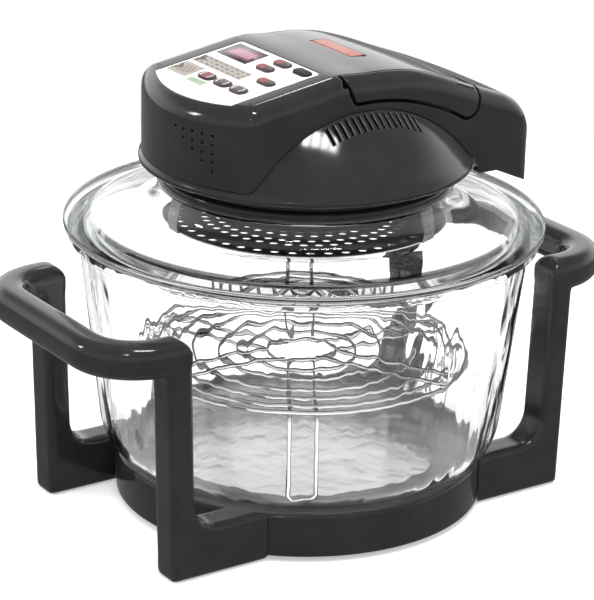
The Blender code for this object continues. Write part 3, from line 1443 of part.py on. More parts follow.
def make_tail_plate(parent):
    """The plate that closes the tail from below."""
    block = cover_block(COVER_WALL + FIT_GAP, lambda y: CREST_Z, 0.0)
    plate = add_part("tail_plate", block, black_plastic("tail_plastic"), parent)
    wide = COVER_HALF_W + CUT_OVERRUN
    strip = [(TAIL_START_Y + FIT_GAP, TAIL_Z), (TAIL_BEND_Y, TAIL_Z), (COVER_REAR_Y, TAIL_TIP_Z),
             (COVER_REAR_Y, TAIL_TIP_Z + TAIL_PLATE_T), (TAIL_BEND_Y, TAIL_Z + TAIL_PLATE_T),
             (TAIL_START_Y + FIT_GAP, TAIL_Z + TAIL_PLATE_T)]
    keep_inside(plate, slab(strip, -wide, wide, ALONG_X), "tail_plate_strip")
    combine(plate, dome_cutter("tail_plate_space", FIT_GAP * 2), "DIFFERENCE")


def make_panel(parent):
    """The keypad plate, the display's window, the badge plate and the board behind the keys."""
    white = finish("panel_white", (0.85, 0.85, 0.84), 0.35)
    outlines = [panel_outline()]
    for place in KEY_PLACES.values():
        shift = (place[0], up_slope(place[1]))
        outlines.append([(x + shift[0], y + shift[1]) for x, y in key_outline(place[2], KEY_SLACK)])
    plate = add_part("keypad_plate", slab(outlines, -PANEL_T, 0, panel_frame()), white, parent)
    cut(plate, slab(window_outline(FIT_GAP), -PANEL_T / 2 - FIT_GAP, CUT_OVERRUN, panel_frame()),
        "window_recess")
    add_part("display_window", slab(window_outline(), -PANEL_T / 2, FIT_GAP, panel_frame()),
             finish("window_red", (0.35, 0.02, 0.04), 0.1), parent)
    badge = box((-BADGE_HALF_L, BADGE_Y - BADGE_HALF_W, badge_floor() + FIT_GAP),
                (BADGE_HALF_L, BADGE_Y + BADGE_HALF_W, badge_floor() + FIT_GAP + BADGE_T))
    add_part("badge_plate", badge, finish("badge_red", (0.45, 0.10, 0.09), 0.3), parent)
    middle_y = up_slope((PANEL_REAR_Y + PANEL_FRONT_Y) / 2)
    board = slab(oblong((0, middle_y), BOARD_HALF_L, BOARD_HALF_W, RIM_ROUND, 2),
                 -BOARD_DEPTH - BOARD_T, -BOARD_DEPTH, panel_frame())
    add_part("control_board", board, finish("board_green", (0.05, 0.20, 0.08), 0.5), parent)


def make_keys():
    """The seven keys; each has a cap, a flange that holds it in and a stem to its switch."""
    for name, place in KEY_PLACES.items():
        size = place[2]
        frame = key_frame(place)
        flange_top = -PANEL_T - FIT_GAP
        cap = slab(key_outline(size, 0.0), flange_top - KEY_FLANGE_T / 2, KEY_PROUD)
        key = add_part(name, cap, finish(name + "_plastic", (0.06, 0.05, 0.05), 0.35))
        key.matrix_world = frame
        flange = add_cutter(name + "_flange", slab(key_outline(size, KEY_FLANGE),
                                                   flange_top - KEY_FLANGE_T, flange_top))
        stem_low = -BOARD_DEPTH + KEY_TRAVEL + FIT_GAP
        stem = add_cutter(name + "_stem", cylinder(KEY_STEM_R, stem_low, flange_top - KEY_FLANGE_T / 2, 8))
        for tool in (flange, stem):
            tool.matrix_world = frame
            combine(key, tool, "UNION")


def make_safety_switch(parent):
    """The switch that the folded carry handle presses."""
    top = -switch_top()
    body = slab(oblong((0, 0), SWITCH_HALF_L, SWITCH_HALF_W, RIM_ROUND, 2), top - SWITCH_H, top,
                grip_frame())
    add_part("safety_switch", body, finish("switch_plastic", (0.10, 0.10, 0.11), 0.5), parent)


def build():
    """Make the whole oven."""
    make_base_ring()
    make_feet()
    make_frame("front_handle_frame", -1)
    make_frame("rear_handle_frame", 1)
    make_frame_screws()
    bowl = empty("bowl_lift", (0, 0, LEDGE_Z))
    lid = empty("lid_lift", (0, 0, BOWL_TOP_Z))
    fan = empty("fan_axis", (0, 0, MOTOR_Z))
    handle = empty("carry_handle_pivot", (0, PIVOT_Y, PIVOT_Z))
    make_bowl(bowl)
    make_rack(bowl)
    make_lid_glass(lid)
    make_collar(lid)
    make_plates(lid)
    make_guard(lid)
    make_guard_brackets(lid)
    make_heater(lid)
    make_motor(lid)
    make_fans(fan)
    make_lower_shell(lid)
    make_top_cover(lid)
    make_tail_plate(lid)
    make_bushing(lid)
    make_panel(lid)
    make_safety_switch(lid)
    make_handle_pins(lid)
    make_keys()
    make_carry_handle(handle)


build()
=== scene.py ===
"""Halogen oven on a white table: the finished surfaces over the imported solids.

Metres, +Z up. The control panel faces -Y and the tail of the head faces +Y.
"""
import math

import bmesh
import bpy
from mathutils import Matrix, Vector


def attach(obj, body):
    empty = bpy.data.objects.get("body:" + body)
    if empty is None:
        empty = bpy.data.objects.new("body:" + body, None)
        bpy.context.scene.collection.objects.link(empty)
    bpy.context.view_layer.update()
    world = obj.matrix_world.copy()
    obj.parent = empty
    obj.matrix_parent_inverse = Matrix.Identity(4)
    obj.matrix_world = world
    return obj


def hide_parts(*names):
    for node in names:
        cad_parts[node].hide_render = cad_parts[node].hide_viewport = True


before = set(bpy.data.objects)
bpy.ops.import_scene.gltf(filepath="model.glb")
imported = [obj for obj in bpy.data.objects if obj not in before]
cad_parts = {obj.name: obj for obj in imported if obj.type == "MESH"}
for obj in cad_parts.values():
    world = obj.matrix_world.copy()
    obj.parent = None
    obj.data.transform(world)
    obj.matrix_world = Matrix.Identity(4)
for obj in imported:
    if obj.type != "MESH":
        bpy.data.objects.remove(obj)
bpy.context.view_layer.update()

# Fits and fineness
GAP = 0.0003
WELD = 0.000002
OVERRUN = 0.006
TURN_STEPS = 160
CORNER_POINTS = 5
CORNER_STRETCH_LIMIT = 0.3
SHARP_ANGLE = 35
ROUND_SHARP_ANGLE = 50
WIRE_SHARP_ANGLE = 60

# Camera
VIEW_TURN = 0.600
VIEW_DISTANCE = 1.850
VIEW_HEIGHT = 0.825
VIEW_YAW = 0.002
VIEW_PITCH = 0.354
VIEW_ROLL = 0.024
VIEW_LENS = 167.7
VIEW_SENSOR = 36.0
VIEW_REACH = 20.0

# Room; a ramp is two places and the value at each
OVEN_MIDDLE = Vector((0, 0, 0.2))
TABLE_R = 0.9
TABLE_Z = (-0.02, -0.0002)
TABLE_STEPS = 96
TABLE_COLOUR = (0.86, 0.86, 0.86)
TABLE_ROUGHNESS = 0.6
TABLE_GLOW = 0.42
ROOM_LIGHT = 0.55
ROOM_DIM = 0.26
BAND_MIDDLE = (144.0, 12.0)
BAND_SIDE = (-0.2, 0.97, 0.30, 1.35)
BAND_FOOT = (-0.06, 0.02, 0.0, 1.0)
BAND_HEAD = (0.30, 0.62, 1.0, 0.0)
BELT_FOOT = (0.50, 0.60, 1.0, 0.08)
BELT_HEAD = (0.72, 0.84, 0.08, 0.90)
TUBES_PLACE = (-4.0, 75.0)
TUBES_DISTANCE = 2.0
TUBES_TURN = 50.0
TUBE_COUNT = 4
TUBE_PITCH = 0.17
TUBE_SIZE = (0.13, 0.30)
TUBE_POWER = 4.0
LAMP_DISTANCE = 2.2

# Lamps that show in reflections: direction, size and power
SHOWN_LAMPS = {
    "lamp_behind": ((148.0, 45.0), (0.18, 0.18), 1.6),
    "lamp_front": ((-46.0, 43.0), (0.16, 0.16), 2.6),
    "window_left": ((-122.0, 26.0), (0.22, 0.30), 5.0),
}

# Soft lamps that show in none: place, size and power
FILL_LAMPS = {
    "fill_top": ((0.1, 0.0, 2.2), (1.4, 1.4), 26.0),
    "fill_left": ((-1.2, -2.0, 1.6), (1.4, 1.4), 12.0),
    "fill_right": ((2.2, 0.4, 1.4), (1.2, 1.2), 9.0),
}

# Patterns: the span of the noise that shows, the stops of two tones, and the softened edges
NOISE_SPAN = (0.3, 0.7)
TONE_STOPS = (0.35, 0.65)
EDGE_SAMPLES = 6
GRAIN_H = 0.0002
GRAIN_FINENESS = 8
METAL_GLOSS_SHARES = (0.7, 1.4)

# Clear glass: waves are their strength and fineness
GLASS_DENSITY = 12.0
GLASS_BEND = 1.47
GLASS_SOAK = (0.50, 0.52, 0.52)
GLASS_SHADOW = (0.90, 0.91, 0.91)
GLASS_WAVE_H = 0.004
GLASS_WAVE_DETAIL = 1.5
GLASS_WAVE_STRETCH = (1, 1, 0.4)
BOWL_WAVES = (0.50, 38.0)
LID_WAVES = (0.06, 26.0)
BOWL_HAZE = (0.038, 0.046, 0.20, 0.0)
PALE_RIM_R = (0.147, 0.150, 0.0, 1.0)
PALE_RIM_Z = (0.1943, 0.1963, 0.0, 0.80)
PALE_RIM_LEVEL = (0.55, 0.90, 0.0, 1.0)

# Moulded black: its tones, its gloss, and the scales of the patterns of both and of the grain
BLACK = (0.020, 0.020, 0.021)
BLACK_TONES = ((0.017, 0.017, 0.018), (0.022, 0.022, 0.023))
BLACK_ROUGHNESS = 0.10
BLACK_GLOSS_RANGE = (-0.03, 0.05)
BLACK_SCALES = (40.0, 25.0, 1500.0)
BLACK_GRAIN = 0.05
BLACK_EDGE_R = 0.0012

# Even finishes: colour, roughness, change of tone, scale of the pattern and grain
EVEN_FINISHES = {
    "black_rubber": ((0.045, 0.045, 0.045), 0.75, 0.15, 120.0, 0.05),
    "tube_quartz": ((0.06, 0.05, 0.045), 0.12, 0.05, 120.0, 0.05),
    "white_ceramic": ((0.55, 0.53, 0.49), 0.6, 0.15, 120.0, 0.05),
    "board_green": ((0.05, 0.20, 0.08), 0.5, 0.15, 120.0, 0.05),
    "switch_grey": ((0.10, 0.10, 0.11), 0.5, 0.15, 120.0, 0.05),
    # Painted shade: the guard's steel is coloured near black for the shade under the head
    "guard_black_painted_shade": ((0.004, 0.004, 0.004), 0.5, 0.1, 200.0, 0.02),
    "panel_film": ((0.86, 0.86, 0.85), 0.35, 0.02, 60.0, 0.02),
    "print_beige": ((0.31, 0.285, 0.25), 0.45, 0.14, 700.0, 0.0),
    "print_dark": ((0.075, 0.075, 0.085), 0.45, 0.05, 300.0, 0.0),
    "print_brown": ((0.17, 0.10, 0.10), 0.45, 0.05, 300.0, 0.0),
    "print_green": ((0.27, 0.36, 0.24), 0.45, 0.10, 300.0, 0.0),
    "window_frame": ((0.040, 0.028, 0.032), 0.22, 0.1, 200.0, 0.0),
    "window_border": ((0.15, 0.070, 0.085), 0.22, 0.08, 200.0, 0.0),
    "window_field": ((0.36, 0.19, 0.24), 0.30, 0.05, 120.0, 0.0),
    "key_dark": ((0.045, 0.030, 0.032), 0.3, 0.1, 200.0, 0.0),
    "key_black": ((0.004, 0.004, 0.005), 0.55, 0.1, 200.0, 0.0),
    "key_red_mark": ((0.22, 0.045, 0.050), 0.40, 0.1, 200.0, 0.0),
    "key_light_mark": ((0.66, 0.62, 0.62), 0.4, 0.05, 200.0, 0.0),
    "badge_edge": ((0.10, 0.012, 0.010), 0.35, 0.1, 200.0, 0.0),
    "badge_face": ((0.40, 0.17, 0.145), 0.45, 0.08, 150.0, 0.0),
}

# Metals: colour, roughness and scale of the grain
METALS = {
    "bright_steel": ((0.62, 0.62, 0.60), 0.28, 400.0),
    "zinc_plate": ((0.70, 0.70, 0.69), 0.25, 400.0),
    # Painted shade: the steel inside the head is darkened to stand for the shade it lies in
    "steel_darkened_painted_shade": ((0.05, 0.048, 0.045), 0.45, 60.0),
    "chrome_wire": ((0.70, 0.70, 0.70), 0.10, 400.0),
    "bead_steel": ((0.75, 0.75, 0.74), 0.15, 60.0),
    # Painted shade: the strap steel is darkened for the shade under the head
    "strap_steel_painted_shade": ((0.16, 0.16, 0.155), 0.25, 60.0),
}
# Painted shade on the rack wire: the chrome's colour ramps dark toward its outline as it turns from the view
CHROME_PAINTED_EDGE_SHADE = (0.10, 0.60, 0.85, 0.06)

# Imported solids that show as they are, by finish
SOLID_FINISHES = {
    "bright_steel": ("fan_motor", "motor_shaft"),
    "zinc_plate": ("frame_screw_1", "frame_screw_2", "frame_screw_3", "frame_screw_4", "handle_pin_right",
                   "handle_pin_left"),
    "black_rubber": ("foot_1", "foot_2", "foot_3", "foot_4", "cord_bushing"),
    "tail_black": ("tail_plate",),
    # The parts inside the head get steel darkened as painted shade
    "steel_darkened_painted_shade": ("motor_plate", "reflector_plate", "circulation_fan", "cooling_fan"),
    "tube_quartz": ("halogen_tube",),
    "white_ceramic": ("tube_holder_1", "tube_holder_2"),
    "board_green": ("control_board",),
    "switch_grey": ("safety_switch",),
}

# Stand
RING_R = 0.131
RING_LOW_Z = 0.0035
RING_TOP_Z = 0.034
RING_WALL = 0.0035
RING_LIP = 0.005
RING_LIP_SLOPE = 0.0025
LEDGE_Z = 0.0297
LEDGE_INNER_R = 0.098
FRAME_HALF_W = 0.0965
FRAME_VOXEL = 0.0015
FRAME_EASE = (0.5, 9)
LEG_W = 0.0255
LEG_EDGE_R = 0.0045
LEG_FOOT_Y = 0.163
LEG_TOP_Y = 0.168
LEG_DEPTH = 0.0185
ARM_INNER_Y = RING_R * 0.6
ARM_TOP_Z = 0.036
ARM_FILLET_R = 0.018
ARM_FILLET_POINTS = 14
BAR_TOP_Z = 0.1715
BAR_H = 0.0245
BAR_EDGE_R = 0.0095
BAR_EDGE_SEGMENTS = 8
BAR_REACH_Y = 0.2155
BAR_BEND_R = 0.037
BAR_BEND_POINTS = (20, 16)

# Bowl and rack
BOWL_TOP_Z = 0.200
BOWL_LOW_Z = 0.030
BOWL_RIM_R = 0.1585
BOWL_RIM_STARTS = (0.19, 0.185)
BOWL_TAPER = 0.1136
BOWL_WALL = 0.005
BOWL_CORNER_R = 0.034
BOWL_CORNER_POINTS = 16
BOWL_FLANGE_R = 0.165
BOWL_FLANGE_T = 0.007
RACK_Z = 0.105
RACK_R = 0.118
RACK_WIRE_R = 0.0015
RACK_WIRE_DETAIL = 3
RACK_RING_POINTS = 96
RACK_RING_SHARES = (0.19, 0.34, 0.49, 0.665, 0.79, 0.905, 1.0)
RACK_BEND_COUNT = 6
RACK_BEND_POINTS = 7
RACK_PAIR_HALF = 0.00925
RACK_BEND_R = 0.006
RACK_SINK = 0.0012
RACK_LEG_LOW_Z = 0.0392
RACK_HOOK_H = 0.027
RACK_TURN = -33.0

# Lid
LID_R = 0.168
LID_RIM_Z = 0.2003
LID_RIM_T = 0.0057
LID_RIM_RISE = 0.0015
LID_WALL = 0.004
NECK_R = 0.103
NECK_TOP_Z = 0.231
NECK_FILLET = 0.0185
NECK_POINTS = 14
SPIGOT_GAP = 0.001
SPIGOT_H = 0.0035
SPIGOT_W = 0.004
COLLAR_R = 0.1026
COLLAR_INNER_R = 0.092
COLLAR_LOW_Z = 0.2313
COLLAR_H = 0.0078
GUARD_R = 0.098
GUARD_Z = 0.2042
GUARD_T = 0.0012
GUARD_RIM_H = 0.0012
GUARD_STEPS = 120
GUARD_ROWS = ((0.012, 7), (0.0245, 14), (0.036, 20), (0.0465, 28), (0.0592, 37), (0.0690, 42),
              (0.0885, 46))
GUARD_HOLE_R = 0.0032
GUARD_HOLE_STEPS = 14
GUARD_BEAD_R = 0.0009
GUARD_BEAD_POINTS = 12
STRAP_COUNT = 3
STRAP_W = 0.014
STRAP_T = 0.0012
STRAP_TURN = -97.0
STRAP_BEND_H = 0.0080
STRAP_LEAN = STRAP_T * 3.5
STRAP_TOP_GAP = 0.0022

# Head
SHELL_WALL = 0.003
SHELL_NECK_R = 0.098
SHELL_LIP_R = 0.116
SHELL_LIP_Z = 0.2475
SHELL_LIP_T = 0.0035
DOME_FOOT = (0.112, 0.255)
DOME_TOP = (0.0705, 0.2978)
DOME_ARC_R = 0.161
DOME_ARC_POINTS = 25
DOME_OPENING_R = 0.045
VENT_COUNT = 15
VENT_Y = (-0.0334, 0.0372)
VENT_X = (0.0715, 0.0822)
VENT_W = 0.0022
COVER_HALF_W = 0.070
COVER_FRONT_R = 0.114
COVER_FRONT_POINTS = 30
COVER_CORNER_POINTS = 14
COVER_FRONT_CORNER = 0.0115
COVER_REAR_Y = 0.147
COVER_REAR_BOW = 0.0012
COVER_REAR_SHARES = (0.75, 0.5, 0.25, 0.0)
COVER_REAR_CORNER = 0.0145
COVER_SHOULDER_R = 0.012
COVER_SHOULDER_SEGMENTS = 10
COVER_REAR_ROUND_L = 0.026
COVER_REAR_ROUND_H = 0.0185
COVER_FLOOR_Z = 0.195
COVER_FRONT_Z = 0.2482
COVER_CUTS = 88
COVER_CUT_X = 0.0165
COVER_SIDE_CUTS = 3
TAIL_Z = 0.239
TAIL_TIP_Z = 0.224
TAIL_START_Y = 0.099
TAIL_BEND_Y = 0.113
CREST_Y = 0.010
CREST_Z = 0.3225
CROWN_DROP = 0.002
REAR_EDGE_Z = 0.283
BACK_SHARES = ((0.0, 0.0), (0.234, 0.0625), (0.416, 0.2375), (0.672, 0.575), (0.927, 0.90), (1.0, 1.0))
DOT_R = 0.0012
DOT_DEPTH = 0.004
DOT_STEPS = 20
DOT_COLUMNS = 5
DOT_FIRST_X = 0.0445
DOT_PITCH_X = 0.0082
DOT_TOP_Z = 0.2896
DOT_PITCH_Z = 0.0061
BADGE = (-0.0246, 0.0246, 0.0180, 0.0310)
BADGE_SINK = 0.0006
BADGE_RECESS = 0.0009
BADGE_T = 0.001
BADGE_FIELD_T = (0.0005, 0.0012)
BADGE_CORNER = 0.0008
BADGE_BORDER = 0.0013

# Control panel; a box is its low and high X, then its low and high Y
PANEL_REAR = (-0.023, 0.3215)
PANEL_FRONT = (-0.092, 0.310)
PANEL_SLOPE = (PANEL_REAR[1] - PANEL_FRONT[1]) / (PANEL_REAR[0] - PANEL_FRONT[0])
PANEL_TILT = math.atan(PANEL_SLOPE)
PANEL_HALF_W = 0.048
PANEL_FRONT_R = 0.1045
PANEL_FRONT_POINTS = 31
PANEL_CORNER = 0.003
PANEL_T = 0.0012
PANEL_RECESS = 0.0015
FINE_EDGE_R = 0.0002
WINDOW = (-0.0450, -0.0085, -0.0462, -0.0263)
WINDOW_GLASS = (-0.0375, -0.0135, -0.0405, -0.0318)
WINDOW_BORDER = 0.0022

# Layers of the display's window: piece, low and high side, edge radius and the solid that it replaces
WINDOW_LAYERS = {
    "frame": ("display_rim", -PANEL_T * 0.5, 0.0002, 0.0001, ["display_window"]),
    "border": ("display_border", 0, 0.00025, 0.00005, ()),
    "field": ("display_field", 0, 0.0003, 0.00005, ()),
}

# Print on the plate
ICON_ROW = (-0.0462, 0.0130, -0.0650, -0.0533)
ICON_COLUMNS = 9
ICON_LINES = 3
ICON_HALF_LENGTHS = (0.0019, 0.0012)
ICON_HALF_W = 0.0005
ARROW_BLOCK = (-0.0462, -0.0228, -0.0855, -0.0682)
ARROW_SHIFTS = (0.0105, 0.0145, 0.0185)
ARROW_HALF_H = 0.0052
ARROW_BACK = 0.0032
ARROW_W = 0.0012
WEDGE_INSET = 0.0008
WEDGE_REACHES = (0.0055, 0.0095)
WEDGE_SHARES = ((0.55, 0.8), (0.3, 0.5))
GREEN_MARK = (-0.0180, 0.0005, -0.0875, -0.0818)
PRINT_T = 0.00006

# Keys: the X and Y of their middle and their half sizes
KEY_LONG = (0.0086, 0.0038)
KEY_ROUND = (0.0082, 0.0044)
KEYS = {
    "key_start": (0.0374, -0.0300, KEY_LONG),
    "key_power": (0.0135, -0.0300, KEY_LONG),
    "key_timer": (0.0104, -0.0418, KEY_LONG),
    "key_stop": (0.0327, -0.0558, KEY_LONG),
    "key_menu": (-0.0093, -0.0755, KEY_ROUND),
    "key_down": (0.0102, -0.0755, KEY_ROUND),
    "key_up": (0.0297, -0.0755, KEY_ROUND),
}
RED_CAPS = ("key_stop", "key_timer")

# Red part of a key's face, from X to X about its middle
RED_MARKS = {
    "key_power": (-KEY_LONG[0], 0.0006),
    "key_timer": (-KEY_LONG[0], 0.0006),
    "key_stop": (-KEY_LONG[0], 0.0006),
    "key_menu": (-0.0034, 0.0028),
}

KEY_END_POINTS = 13
KEY_EDGE_R = 0.0005
KEY_PROUD = 0.0015
KEY_SLACK = 0.0004
KEY_FLANGE = 0.001
KEY_STEM_R = 0.0016
KEY_STEM_LIFT = 0.0011
KEY_STEM_STEPS = 16
MARK_INSET = 0.0009
MARK_SINK = 0.0001
RED_MARK_T = 0.00008
CRESCENT_T = 0.00016
CRESCENT_EXTRAS = (0.0019, 0.0009)
CRESCENT_REACH = 38
CRESCENT_POINTS = 11
BOARD_DEPTH = 0.0105

# Carry handle
PIVOT = (-0.004, 0.3135)
ARM_INNER_X = 0.060
ARM_FRONT_TOP_Y = -0.015
ARM_FRONT_LOW = (-0.008, 0.305)
ARM_MID = (0.036, 0.298)
ARM_REACH_R = 0.1012
ARM_END_ANGLE = -14.6
ARM_END_R = 0.0085
ARM_END_POINTS = 12
ARM_BELLY_R = 0.16
ARM_BELLY_POINTS = 20
ARM_CORNER_R = 0.003
ARM_CORNER_POINTS = 6
POCKET_GAP = 0.0026
POCKET_SIDE_GAP = 0.0010
RELIEF_R = 0.0146
RELIEF_OUTER_X = 0.0686
RELIEF_RIM_R = 0.0100
RELIEF_STEPS = 32
GRIP_Y = 0.0865
GRIP_HALF_W = 0.0085
GRIP_HALF_T = 0.00265
GRIP_RISE = -0.0021
GRIP_HALF_L = 0.0655
GRIP_EDGE_R = 0.0022
GRIP_EDGE_POINTS = 7
GRIP_BENDS = 12
GRIP_SAG = 0.0036
TROUGH_GAP = 0.0017

# An outline in the (Y, Z) plane made solid along X
ALONG_X = Matrix(((0, 0, 1, 0), (1, 0, 0, 0), (0, 1, 0, 0), (0, 0, 0, 1)))


# Materials


def shader_of(material):
    """The Principled shader of a material."""
    return material.node_tree.nodes["Principled BSDF"]


def plain(name, colour, roughness, metallic=0.0):
    """A Principled material with even values."""
    material = bpy.data.materials.new(name)
    material.use_nodes = True
    shader = shader_of(material)
    shader.inputs["Base Color"].default_value = (*colour, 1.0)
    shader.inputs["Roughness"].default_value = roughness
    shader.inputs["Metallic"].default_value = metallic
    return material


def add_node(tree, kind, values=(), operation=None):
    """A shader node whose sockets, by name or number, are given values or fed by other nodes."""
    node = tree.nodes.new("ShaderNode" + kind)
    if operation:
        node.operation = operation
    for name, value in dict(values).items():
        if isinstance(value, bpy.types.NodeSocket):
            tree.links.new(value, node.inputs[name])
        else:
            node.inputs[name].default_value = value
    return node


def ramp_between(tree, value, start, end, low, high):
    """A value carried smoothly from one range to another."""
    values = {"Value": value, "From Min": start, "From Max": end, "To Min": low, "To Max": high}
    remap = add_node(tree, "MapRange", values)
    remap.interpolation_type = "SMOOTHSTEP"
    return remap.outputs["Result"]


def combined(tree, operation, first, second):
    """Two values put together by a sum, product, least or greatest."""
    return add_node(tree, "Math", {0: first, 1: second}, operation).outputs["Value"]


def feed_shader(material, name, value):
    """Feed a socket of a material's shader."""
    material.node_tree.links.new(value, shader_of(material).inputs[name])


def place_on(tree):
    """Place on the piece, in its own coordinates."""
    return add_node(tree, "TexCoord").outputs["Object"]


def noise(material, scale, detail=2.0, stretch=(1, 1, 1)):
    """A noise pattern on the piece's own coordinates."""
    tree = material.node_tree
    mapping = add_node(tree, "Mapping", {"Vector": place_on(tree), "Scale": stretch})
    pattern = {"Vector": mapping.outputs["Vector"], "Scale": scale, "Detail": detail}
    return add_node(tree, "TexNoise", pattern).outputs["Fac"]


def uneven_gloss(material, scale, low, high):
    """Vary the roughness between two values."""
    start, end = NOISE_SPAN
    values = {"Value": noise(material, scale), "From Min": start, "From Max": end, "To Min": low,
              "To Max": high}
    feed_shader(material, "Roughness", add_node(material.node_tree, "MapRange", values).outputs["Result"])


def tint(material, scale, tones):
    """Vary the base colour between two tones."""
    ramp = add_node(material.node_tree, "ValToRGB", {"Fac": noise(material, scale)})
    for element, position, tone in zip(ramp.color_ramp.elements, TONE_STOPS, tones):
        element.position = position
        element.color = (*tone, 1)
    feed_shader(material, "Base Color", ramp.outputs["Color"])


def ripple(material, value, strength, distance, edge=0.0):
    """Bump from a pattern, over edges that are softened by a radius."""
    tree = material.node_tree
    bump = add_node(tree, "Bump", {"Height": value, "Strength": strength, "Distance": distance})
    if edge:
        soften = add_node(tree, "Bevel", {"Radius": edge})
        soften.samples = EDGE_SAMPLES
        tree.links.new(soften.outputs["Normal"], bump.inputs["Normal"])
    feed_shader(material, "Normal", bump.outputs["Normal"])


def moulded_black(name):
    """Glossy black moulded plastic with a faint grain, uneven gloss and softened edges."""
    material = plain(name, BLACK, BLACK_ROUGHNESS)
    tone_scale, gloss_scale, grain_scale = BLACK_SCALES
    tint(material, tone_scale, BLACK_TONES)
    uneven_gloss(material, gloss_scale, *(BLACK_ROUGHNESS + change for change in BLACK_GLOSS_RANGE))
    ripple(material, noise(material, grain_scale, 1.0), BLACK_GRAIN, GRAIN_H, BLACK_EDGE_R)
    return material


def height_on(tree, value):
    """The Z of a place or a direction."""
    return add_node(tree, "SeparateXYZ", {"Vector": value}).outputs["Z"]


def pale_rim(tree):
    """Share of straight light through the flat faces of the thick rims, whose edges stay dark."""
    place = place_on(tree)
    flat = add_node(tree, "VectorMath", {0: place, 1: (1, 1, 0)}, "MULTIPLY").outputs["Vector"]
    reach = add_node(tree, "VectorMath", {0: flat}, "LENGTH").outputs["Value"]
    zone = combined(tree, "MULTIPLY", ramp_between(tree, reach, *PALE_RIM_R),
                    ramp_between(tree, height_on(tree, place), *PALE_RIM_Z))
    lean = height_on(tree, add_node(tree, "NewGeometry").outputs["Normal"])
    level = combined(tree, "MULTIPLY", lean, lean)
    return combined(tree, "MULTIPLY", zone, ramp_between(tree, level, *PALE_RIM_LEVEL))


def clear_glass(name, waves, haze=None):
    """Clear pressed glass with gentle waves, darker where it is thick; rays from the lamps pass it."""
    material = plain(name, (1.0, 1.0, 1.0), 0.0)
    shader = shader_of(material)
    shader.inputs["Transmission Weight"].default_value = 1.0
    shader.inputs["IOR"].default_value = GLASS_BEND
    strength, fineness = waves
    waviness = noise(material, fineness, GLASS_WAVE_DETAIL, GLASS_WAVE_STRETCH)
    ripple(material, waviness, strength, GLASS_WAVE_H)
    tree = material.node_tree
    if haze:
        feed_shader(material, "Roughness", ramp_between(tree, height_on(tree, place_on(tree)), *haze))
    soak = add_node(tree, "VolumeAbsorption", {"Color": (*GLASS_SOAK, 1), "Density": GLASS_DENSITY})
    clear = add_node(tree, "BsdfTransparent", {"Color": (*GLASS_SHADOW, 1)})
    shadow = add_node(tree, "LightPath").outputs["Is Shadow Ray"]
    share = combined(tree, "MAXIMUM", shadow, pale_rim(tree))
    mix = add_node(tree, "MixShader", {"Fac": share, 1: shader.outputs["BSDF"], 2: clear.outputs["BSDF"]})
    end = tree.nodes["Material Output"]
    tree.links.new(soak.outputs["Volume"], end.inputs["Volume"])
    tree.links.new(mix.outputs["Shader"], end.inputs["Surface"])
    return material


def polished_metal(name):
    """Metal with a faint grain."""
    colour, roughness, grain = METALS[name]
    material = plain(name, colour, roughness, 1.0)
    uneven_gloss(material, grain, *(roughness * share for share in METAL_GLOSS_SHARES))
    return material


def wire_chrome():
    """Chrome on thin wire, with painted shade: its colour darkens toward its outline."""
    material = polished_metal("chrome_wire")
    facing = add_node(material.node_tree, "LayerWeight", {"Blend": 0.5}).outputs["Facing"]
    feed_shader(material, "Base Color", ramp_between(material.node_tree, facing, *CHROME_PAINTED_EDGE_SHADE))
    return material


def soft_solid(name):
    """An even moulded, printed or fired finish with slight changes of tone."""
    colour, roughness, change, scale, grain = EVEN_FINISHES[name]
    material = plain(name, colour, roughness)
    low = tuple(c * (1 - change) for c in colour)
    high = tuple(min(c * (1 + change), 1.0) for c in colour)
    tint(material, scale, (low, high))
    ripple(material, noise(material, scale * GRAIN_FINENESS), grain, GRAIN_H)
    return material


def finish_named(name):
    """A finish by its name in the tables; any other name is moulded black."""
    if name in METALS:
        return polished_metal(name)
    return soft_solid(name) if name in EVEN_FINISHES else moulded_black(name)


# Shapes


def arc(centre, radius, start, end, count):
    """Points on an arc between two angles in degrees, both ends included."""
    points = []
    for step in range(count):
        angle = math.radians(start + (end - start) * step / (count - 1))
        points.append((centre[0] + radius * math.cos(angle), centre[1] + radius * math.sin(angle)))
    return points


def arc_between(start, end, radius, count):
    """Points on an arc of a radius that bulges to the left of the way from start to end."""
    a, b = Vector(start), Vector(end)
    chord = b - a
    left = Vector((-chord.y, chord.x)).normalized()
    centre = (a + b) / 2 - left * math.sqrt(radius ** 2 - chord.length_squared / 4)
    first = a - centre
    whole = -2 * math.asin(chord.length / 2 / radius)
    points = []
    for step in range(count):
        angle = whole * step / (count - 1)
        c, s = math.cos(angle), math.sin(angle)
        points.append((centre.x + first.x * c - first.y * s, centre.y + first.x * s + first.y * c))
    return points


def eased(points, radius, count=CORNER_POINTS, closed=True):
    """An outline with its corners rounded; radius is one value or one for each corner."""
    size = len(points)
    radii = radius if isinstance(radius, (tuple, list)) else [radius] * size
    result = []
    for index, here in enumerate(points):
        if radii[index] == 0 or (not closed and index in (0, size - 1)):
            result.append(tuple(here))
            continue
        before, after = Vector(points[index - 1]), Vector(points[(index + 1) % size])
        here = Vector(here)
        inward, outward = before - here, after - here
        half = inward.angle(outward) / 2
        reach = min(radii[index] / math.tan(half), inward.length / 2, outward.length / 2)
        a, b = here + inward.normalized() * reach, here + outward.normalized() * reach
        for step in range(count):
            t = step / (count - 1)
            result.append(tuple(a * (1 - t) ** 2 + here * 2 * t * (1 - t) + b * t ** 2))
    return result


